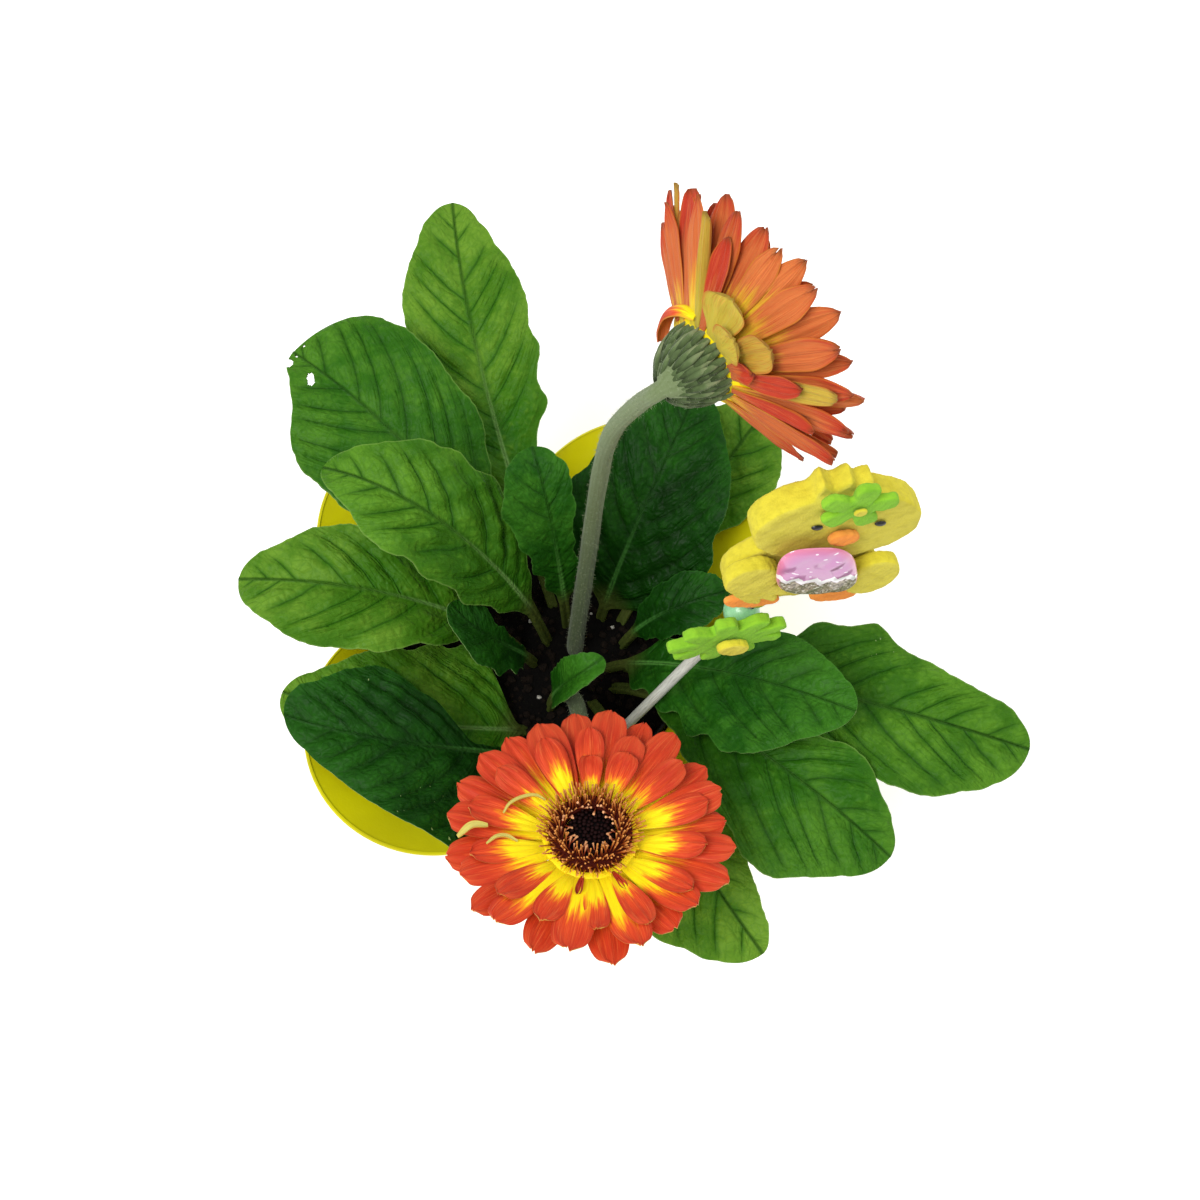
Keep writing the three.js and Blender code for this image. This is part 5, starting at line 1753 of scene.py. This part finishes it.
@dataclass
class Disc:
    """The middle of a bloom: a ring of tubular florets round a dark eye of buds."""

    bloom: Bloom
    inner: float = 7.9
    outer: float = 12.4
    base: float = 2.0
    eye_radius: float = 7.5
    eye_height: float = 3.4
    bud_level: float = 1.5

    def grown(self, host: Mesh, ring: FloretRing, levels: tuple[float, float], **sizes: Any) -> Mesh:
        """A ring's florets, each a slim tube that opens into short lobes."""
        rows = np.array([[-0.6, 0.6], [0.0, 0.62], [0.55, 0.8], [0.85, 1.15], [1.0, ring.flare]])
        along, radius = rows[:, :1], rows[:, 1:] * ring.radius
        tube = circle(around(5), radius, np.where(along < 0, along, along * ring.length))
        floret = Draft().loft(tube, along=np.clip(along, 0, 1)).mesh("floret", None, 80)
        ends = {"Radius": (ring.inner, ring.outer), "Level": levels, "Lean": (ring.lean, ring.outer_lean)}
        return whorl().ring(host, floret, ring.finish, ends, Count=ring.count, Small=0.75, **sizes)

    def build(self) -> list[Thing]:
        """Sets the florets and the buds in spirals."""
        bloom, base = self.bloom, self.base
        seat = [(self.inner, GAP), (self.outer, GAP), (self.outer, base), (self.inner, base)]
        meshes = [Draft().lathe(seat, 60).mesh("seat", FLORET_SEAT, 30)]
        for k, ring in enumerate(FLORETS):
            meshes.append(self.grown(meshes[0], ring, (base, base - 0.2), Large=1.2, Sway=0.3, Seed=40 + k))
        florets = moved(joined("florets", meshes), bloom.frame())
        r, h = self.eye_radius, self.eye_height
        dome = [(0, GAP), (r, GAP), (r, h * 0.35), (r * 0.8, h * 0.6), (r * 0.4, h * 0.62), (0, h * 0.5)]
        eye = [Draft().lathe(dome, 40).mesh("dome", EYE_BUD, 60)]
        eye.append(self.grown(eye[0], BUDS, (self.bud_level,) * 2, Large=1.1, Sway=0.12, Seed=70))
        buds = moved(joined("eye", eye), bloom.frame())
        return [
            present(florets, f"tube_florets_{bloom.name}", "floret", f"florets_{bloom.name}"),
            present(buds, f"eye_buds_{bloom.name}", "floret_eye", f"eye_{bloom.name}"),
        ]


@dataclass
class Scape:
    """A downy stem, the green cup on top of it and the cup's narrow bracts.

    Each ring of bracts has its count, radius, level below the petals, lean in degrees, length and half
    width.
    """

    bloom: Bloom
    radius_foot: float = 2.9
    radius_top: float = 2.4
    cup_radius: float = 9.5
    cup_depth: float = 13
    bract_curl: float = 0.2
    cup_steps: tuple[float, ...] = (0, 0.25, 0.55, 0.8, 1)
    cup_shares: tuple[float, ...] = (0.3, 0.68, 0.9, 1, 0.97)
    bract_rings: tuple[tuple[float, ...], ...] = (
        (22, 3.2, -16.6, 50, 8.6, 0.85),
        (28, 5.8, -14.4, 38, 8.8, 0.9),
        (32, 7.8, -11.8, 26, 8.4, 0.9),
        (34, 9.0, -8.8, 20, 7.2, 0.85),
    )
    sides: int = 20
    rows: int = 90
    cup_rows: int = 14

    def bract(self, length: float, half_width: float) -> Mesh:
        """A narrow pointed bract standing up Z with its back to +X."""
        s, x = np.linspace(0, 1, 7)[:, None], np.linspace(-1, 1, 4)
        half = half_width * np.sin(math.pi * np.clip(0.14 + 0.86 * s, 0, 0.985)) ** 0.8
        bulge = 0.5 * half * (1 - x**2) + 0.3 * np.sin(math.pi * s) - self.bract_curl * length * s**2
        grids = [np.stack([bulge + h * (1 - 0.7 * s), half * x, length * s + 0 * x], -1) for h in (0.3, -0.3)]
        return Draft().slab(*grids, along=s, grow=1.0).mesh("bract", None, 70)

    def stem(self) -> Mesh:
        """The stem, lofted from the soil into its cup."""
        top = np.array(self.bloom.centre) - unit(self.bloom.facing) * (HUB_THICKNESS + GAP)
        neck = top - unit(self.bloom.facing) * self.cup_depth
        path = Path.through([*self.bloom.way, neck, blend(neck, top, 0.5), top])
        cup = self.cup_depth / path.length
        steps = np.linspace(0, 1, self.cup_rows)
        shares = np.concatenate([np.linspace(0, 1 - cup, self.rows, endpoint=False), 1 - cup * (1 - steps)])
        swell = self.cup_radius * np.interp(steps, self.cup_steps, self.cup_shares)
        swell[0] = self.radius_top
        stem = blend(self.radius_foot, self.radius_top, np.linspace(0, 1, self.rows))
        angle, run = around(self.sides), shares[:, None]
        uneven = 1 + 0.035 * np.sin(5 * angle + 3 * run) + 0.02 * np.sin(40 * run)
        radius = np.concatenate([stem, swell])[:, None] * uneven
        rings = path.carried_frames(shares, RIGHT).rings(angle, radius)
        grow = ease(SOIL_TOP, SOIL_TOP + 4, rings[..., 2])
        return Draft().loft(rings, around=np.abs(angle - math.pi), grow=grow).mesh("stem", STEM_DOWN, 60)

    def build(self) -> list[Thing]:
        """Makes the stem, and adds the bracts and the down."""
        bloom = self.bloom
        meshes = [self.stem()]
        for k, (count, ring, level, lean, length, half_width) in enumerate(self.bract_rings):
            ends = {"Radius": (ring, ring), "Level": (level, level), "Lean": (lean, lean)}
            sizes = {"Count": int(count), "Step": 2 * math.pi / count, "Start": 0.4 * k, "Seed": 20 + k}
            bract = self.bract(length, half_width)
            made = whorl().ring(meshes[0], bract, BRACT, ends, Small=0.85, Large=1.12, Sway=0.12, **sizes)
            meshes.append(moved(made, bloom.frame()))
        green = joined("scape", meshes)
        down = furred(green, STEM_HAIR, 0.55, (0.5, 1.3), 0.9, 5)
        return [present(joined("scape", [green, down]), f"stem_{bloom.name}", "stem", f"scape_{bloom.name}")]


# ---- chick on a stick ----


class ChickFrame:
    """The chick's own frame: X across it, Y up it and Z out of its face, in millimetres."""

    CENTRE = Vector((77, -9, 192))
    ACROSS = Vector((0.945, 0.155, -0.286))
    UPWARD = Vector((0.259, 0.175, 0.95))
    STICK_RADIUS = 1.75
    STICK_FOOT = Vector((19, -35.5, 67))
    STICK_TOP = Vector((-5.5, -7, 3))

    @classmethod
    def matrix(cls) -> Matrix:
        """The frame as a matrix."""
        y = cls.UPWARD.normalized()
        z = cls.ACROSS.cross(y).normalized()
        return Matrix.Translation(cls.CENTRE) @ Matrix((y.cross(z), y, z)).transposed().to_4x4()

    @classmethod
    def stick(cls) -> tuple[Vector, Vector]:
        """The stick's two ends in the whole part's frame."""
        return cls.STICK_FOOT, cls.matrix() @ cls.STICK_TOP


def oval(x: float, y: float, half_width: float, half_height: float, tilt: float = 0) -> np.ndarray:
    """An oval outline, tilted by some degrees."""
    angle = around(96)
    return turned(np.stack([half_width * np.cos(angle), half_height * np.sin(angle)], -1), tilt, x, y)


@dataclass
class Blossom:
    """A flower outline with blunt petals, flattened and then tilted by some degrees."""

    x: float
    y: float
    radius: float
    petals: int
    depth: float
    flatness: float
    tilt: float = 0
    points: int = 180

    def outline(self) -> np.ndarray:
        """The outline's points."""
        angle = -around(self.points)
        notch = (0.5 - 0.5 * np.cos(self.petals * angle)) ** 2.6
        r = self.radius * (1 - self.depth * notch)
        flat = np.stack([r * np.sin(angle), r * np.cos(angle) * self.flatness], -1)
        return turned(flat, self.tilt, self.x, self.y)


@dataclass
class FeltCut:
    """A shape cut from thick felt, with soft edges and loose fibres."""

    name: str
    node: str
    felt: Felt
    outlines: list[tuple[np.ndarray, float, float]]
    round: float
    voxel: float
    rough: float = 0.16
    fine: float = 0.12

    def build(self) -> list[Thing]:
        """Lofts each outline, melts them into one, roughens the face and adds fuzz."""
        draft = Draft()
        for outline, low, high in self.outlines:
            along = np.roll(outline, -1, 0) - np.roll(outline, 1, 0)
            inward = unit(np.stack([-along[:, 1], along[:, 0]], -1)) * self.round
            rings = []
            for level, inset, rise in (
                (low, 1, 0), (low, 0.3, 0.3), (low, 0, 1), (high, 0, -1), (high, 0.3, -0.3), (high, 1, 0)
            ):  # fmt: skip
                z = np.full(len(outline), level + rise * self.round)
                rings.append(np.column_stack([outline + inward * inset, z]))
            draft.loft(np.stack(rings))
        host = linked(self.name, draft.mesh(self.name, self.felt.value))
        remesh = host.modifiers.new("melt", "REMESH")
        remesh.mode = "VOXEL"
        remesh.voxel_size = self.voxel * MM
        remesh.use_smooth_shade = True
        mesh = settled(host)
        self.roughen(mesh)
        mesh.materials.clear()
        mesh.materials.append(self.felt.value.material())
        # face is how far each point faces out of the felt's face, which sets where the finish paints the
        # sides' highlight
        ways = self.read(mesh.vertex_normals, "vector")
        for key, values in (("grow", np.ones(len(ways))), ("face", ways[:, 2])):
            mesh.attributes.new(key, "FLOAT", "POINT").data.foreach_set("value", values.astype(np.float32))
        moved(mesh, ChickFrame.matrix())
        fuzz = furred(mesh, self.felt.value, 0.5, (0.25, 0.8), 1.3, len(self.name))
        slot = f"felt_{self.felt.name.lower()}"
        return [present(joined(self.name, [mesh, fuzz]), f"{self.name}_felt", slot, self.node)]

    @staticmethod
    def read(items: Sequence[Any], key: str) -> np.ndarray:
        """A vector of each of a mesh's items, one row for each."""
        flat = np.zeros(len(items) * 3)
        items.foreach_get(key, flat)
        return flat.reshape(-1, 3)

    def roughen(self, mesh: Mesh) -> None:
        """Moves the points a little along their normals."""
        spots, ways = self.read(mesh.vertices, "co") / MM, self.read(mesh.vertex_normals, "vector")
        lift = self.rough * wander(spots[:, 0] / 2.1, spots[:, 1] / 2.4, 2)
        lift += self.fine * wander(spots[:, 0] / 0.7, spots[:, 1] / 0.8 + spots[:, 2], 5)
        mesh.vertices.foreach_set("co", ((spots + ways * lift[:, None]) * MM).ravel())
        mesh.update()


TUFT = np.array([(3, 36), (0.5, 44), (-3, 41.5), (-6.5, 45), (-9.5, 41), (-14, 43.5), (-15, 36)], float)
FEATHERS = [
    (oval(-19.4, 2, 7.8, 7.6), 6.4, 11.2), (oval(-12.8, -2.4, 8.2, 2.3, -30), 8.8, 10.9),
    (oval(-14.0, -5.8, 7.8, 2.3, -34), 8.8, 10.5), (oval(-17.0, -8.4, 6.8, 2.2, -38), 8.8, 10.1),
]  # fmt: skip
HEAD_BLOSSOM = Blossom(-3.4, 38.6, 11, 5, 0.58, 0.86).outline()
STICK_BLOSSOM = Blossom(-15.6, -30.6, 17.8, 9, 0.42, 0.56, 20).outline()
YELLOW, GREEN, ORANGE = Felt
FELTS = (
    FeltCut("chick_body", "chick_body", YELLOW,
            [(oval(-2.5, -1, 22.5, 16), 0.0, 6.0), (oval(-2, 24, 24, 16), 0.0, 8.4), (TUFT, 0.0, 7.2)],
            1.2, 0.8),
    FeltCut("wing_left", "chick_wing_left", YELLOW, FEATHERS, 1.0, 0.5),
    FeltCut("wing_right", "chick_wing_right", YELLOW, [(oval(17.6, 0.8, 8, 9), 6.4, 11)], 1.0, 0.5),
    FeltCut("foot_left", "chick_foot_left", ORANGE, [(oval(-13, -14.2, 8.5, 3.4), 6.4, 8.4)], 0.6, 0.45),
    FeltCut("foot_right", "chick_foot_right", ORANGE, [(oval(12, -13, 7.5, 3.4), 6.4, 8.4)], 0.6, 0.45),
    FeltCut("beak", "chick_beak", ORANGE, [(oval(-0.4, 22.6, 4.4, 3.2), 8.8, 11.1)], 0.9, 0.4),
    FeltCut("head_flower", "head_flower", GREEN, [(HEAD_BLOSSOM, 8.8, 11.5)], 0.7, 0.5),
    FeltCut("head_flower_middle", "head_flower_centre", YELLOW,
            [(oval(-3.4, 39.0, 1.9, 1.6), 11.8, 13.0)], 0.6, 0.35),
    FeltCut("stick_flower", "stick_flower", GREEN, [(STICK_BLOSSOM, 8.7, 12.4)], 0.7, 0.5),
    FeltCut("stick_flower_middle", "stick_flower_centre", YELLOW,
            [(oval(-14.6, -30.4, 4.8, 3.2), 12.7, 15.4)], 0.7, 0.4),
)  # fmt: skip


@dataclass
class Egg:
    """A flat-backed glazed egg in the chick's frame."""

    x: float = -3.4
    y: float = 9.3
    half_width: float = 12.6
    half_height: float = 12.2
    low: float = 11.4
    high: float = 14.5
    slant: float = 0.42
    layers: int = 12

    def build(self) -> Thing:
        """Lofts the egg's rings from its back to its front."""
        angle = around(80)
        squared = (np.abs(np.cos(angle)) ** 3 + np.abs(np.sin(angle)) ** 3) ** (-1 / 3)
        side, rise = squared * self.half_width * np.cos(angle), squared * self.half_height * np.sin(angle)
        side = side * (0.96 - 0.1 * rise / self.half_height) - self.slant * rise
        rings = [np.column_stack([0.9 * side, 0.9 * rise, self.low + 0 * angle])]
        for turn in np.linspace(0, math.pi / 2, self.layers + 1)[:-1]:
            share = math.cos(turn) ** 0.5
            swell = 0.4 * wander(share * side / 2.1, share * rise / 1.9, 4) * math.sin(turn)
            z = self.low + 0.7 + (self.high - self.low - 0.9) * math.sin(turn) + swell
            rings.append(np.column_stack([share * side, share * rise, z]))
        ring = np.stack(rings)
        deep = np.concatenate([[0.0], np.linspace(0, 1, self.layers)])[:, None]
        placed = ring + np.array([self.x, self.y, 0])
        draft = Draft().loft(placed, side=ring[..., 0], rise=ring[..., 1], deep=deep)
        mesh = moved(draft.mesh("egg", GLAZE, 60), ChickFrame.matrix())
        return present(mesh, "egg_shell", "egg", "chick_egg")


@dataclass
class Chick:
    """A felt chick on a stick, holding an egg, with a flower on its head and beads and a flower below."""

    dot_sizes: tuple[float, float, float] = (1.7, 1.0, 0.8)
    face: float = 8.8

    def dot(self, name: str, x: float, y: float) -> Thing:
        """A glossy black eye, domed towards the front."""
        rise = np.linspace(0, math.pi / 2, 7)[:-1, None]
        dome = circle(around(28), np.cos(rise), np.sin(rise)) * np.array(self.dot_sizes)
        mesh = Draft().loft(dome + np.array([x, y, self.face])).mesh(name, DOT, 70)
        return present(moved(mesh, ChickFrame.matrix()), f"{name}_dot", "dot_black", name)

    def along_stick(self, up: float) -> Matrix:
        """The stick's own frame at the point beside a height in the chick's frame."""
        foot, top = ChickFrame.stick()
        aim = ChickFrame.matrix() @ Vector((ChickFrame.STICK_TOP.x, up, 0))
        way = top - foot
        share = (aim - foot).dot(way) / way.length_squared
        return Matrix.Translation(foot + way * share) @ way.to_track_quat("Z", "Y").to_matrix().to_4x4()

    def bead(self, name: str, up: float, radius: float, finish: GlossFinish, slot: str) -> Thing:
        """A bored bead on the stick."""
        low = math.asin((ChickFrame.STICK_RADIUS + GAP) / radius)
        profile = [(radius * math.sin(t), -radius * math.cos(t)) for t in np.linspace(low, math.pi - low, 26)]
        mesh = moved(Draft().lathe(profile, 56).mesh(name, finish, 50), self.along_stick(up))
        return present(mesh, f"{name}_ball", slot, name)

    def stick(self) -> Thing:
        """The slim painted stick, its ends rounded."""
        path = Path(np.stack([np.array(end) for end in ChickFrame.stick()]))
        share = np.concatenate([[0, 0.002], np.linspace(0.01, 0.99, 60), [0.996, 0.999, 1]])
        size = np.concatenate([[0.7, 0.95], np.ones(60), [0.95, 0.8, 0.5]])[:, None]
        angle = around(24)
        rings = path.carried_frames(share, RIGHT).rings(angle, size * ChickFrame.STICK_RADIUS)
        draft = Draft().loft(rings, around=np.abs(angle - math.pi), along=share[:, None])
        return present(draft.mesh("stick", STICK_PAINT, 50), "painted_stick", "stick", "stick")

    def build(self) -> list[Thing]:
        """Makes every piece of the ornament."""
        pieces = [piece for cut in FELTS for piece in cut.build()]
        return pieces + [
            Egg().build(),
            self.stick(),
            self.dot("chick_eye_left", -9.5, 26.5),
            self.dot("chick_eye_right", 8.6, 27.5),
            self.bead("bead_mint", -31, 5.4, MINT, "bead_green"),
            self.bead("bead_yellow", -21.2, 3.6, LEMON, "bead_yellow"),
        ]


# ---- studio ----


@dataclass
class Studio:
    """The camera, the soft lights and the pale floor. Lengths are metres."""

    eye: tuple[float, float, float] = (0.0198, -0.1754, 0.6078)
    elevation: float = 70
    lens: float = 48
    sensor: float = 36
    clip_start: float = 0.01
    aim: tuple[float, float, float] = (0, 0, 0.12)
    floor_size: float = 6.0
    floor_drop: float = 0.0002
    world: float = 0.62

    def camera(self) -> None:
        """Looks down on the plant from the front."""
        lens = bpy.data.cameras.new("camera")
        lens.lens, lens.sensor_width, lens.clip_start = self.lens, self.sensor, self.clip_start
        made = linked("camera", lens)
        made.location = self.eye
        made.rotation_euler = (math.radians(90 - self.elevation), 0, 0)
        bpy.context.scene.camera = made

    def lamp(self, name: str, place: tuple[float, float, float], size: float, power: float) -> None:
        """A square soft light that looks at the plant."""
        light = bpy.data.lights.new(name, "AREA")
        light.shape, light.size, light.energy = "SQUARE", size, power
        made = linked(name, light)
        made.location = place
        made.rotation_euler = (Vector(self.aim) - Vector(place)).to_track_quat("-Z", "Y").to_euler()

    def build(self) -> None:
        """Sets the camera, the lights, the sky and the floor."""
        self.camera()
        self.lamp("key", (-0.7, -0.5, 1.7), 0.9, 27)
        self.lamp("fill", (1.2, 0.6, 1.5), 1.4, 9)
        world = bpy.data.worlds.new("sky")
        world.use_nodes = True
        sky = world.node_tree.nodes["Background"]
        sky.inputs[0].default_value, sky.inputs[1].default_value = (1, 1, 1, 1), self.world
        bpy.context.scene.world = world
        bpy.context.scene.view_settings.view_transform = "Standard"
        half = self.floor_size / 2
        corners = [(x * half, y * half, -self.floor_drop) for x, y in ((-1, -1), (1, -1), (1, 1), (-1, 1))]
        floor = Draft().add(np.array(corners) / MM, [(0, 1, 2, 3)]).mesh("floor", FLOOR)
        linked("floor", floor)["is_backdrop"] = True


def main() -> None:
    """Builds the studio and every part of the object, and reports each piece."""
    logging.basicConfig(level=logging.INFO, format="%(message)s", stream=sys.stdout)
    Studio().build()
    parts: list[Any] = [PotCover(), NurseryPot(), Soil()]
    parts += [Leaf(shape, seed) for seed, shape in enumerate(LEAVES)]
    for bloom in BLOOMS:
        parts += [Scape(bloom), Petals(bloom), Disc(bloom)]
    parts.append(Chick())
    for part in parts:
        for piece in part.build():
            log.info("%s: %d faces", piece.name, len(piece.data.polygons))
    boxes = {"cad": CAD_BOX, "visual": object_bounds()}
    {key: [list(corner) for corner in box] for key, box in boxes.items()}


if __name__ == "__main__":
    main()
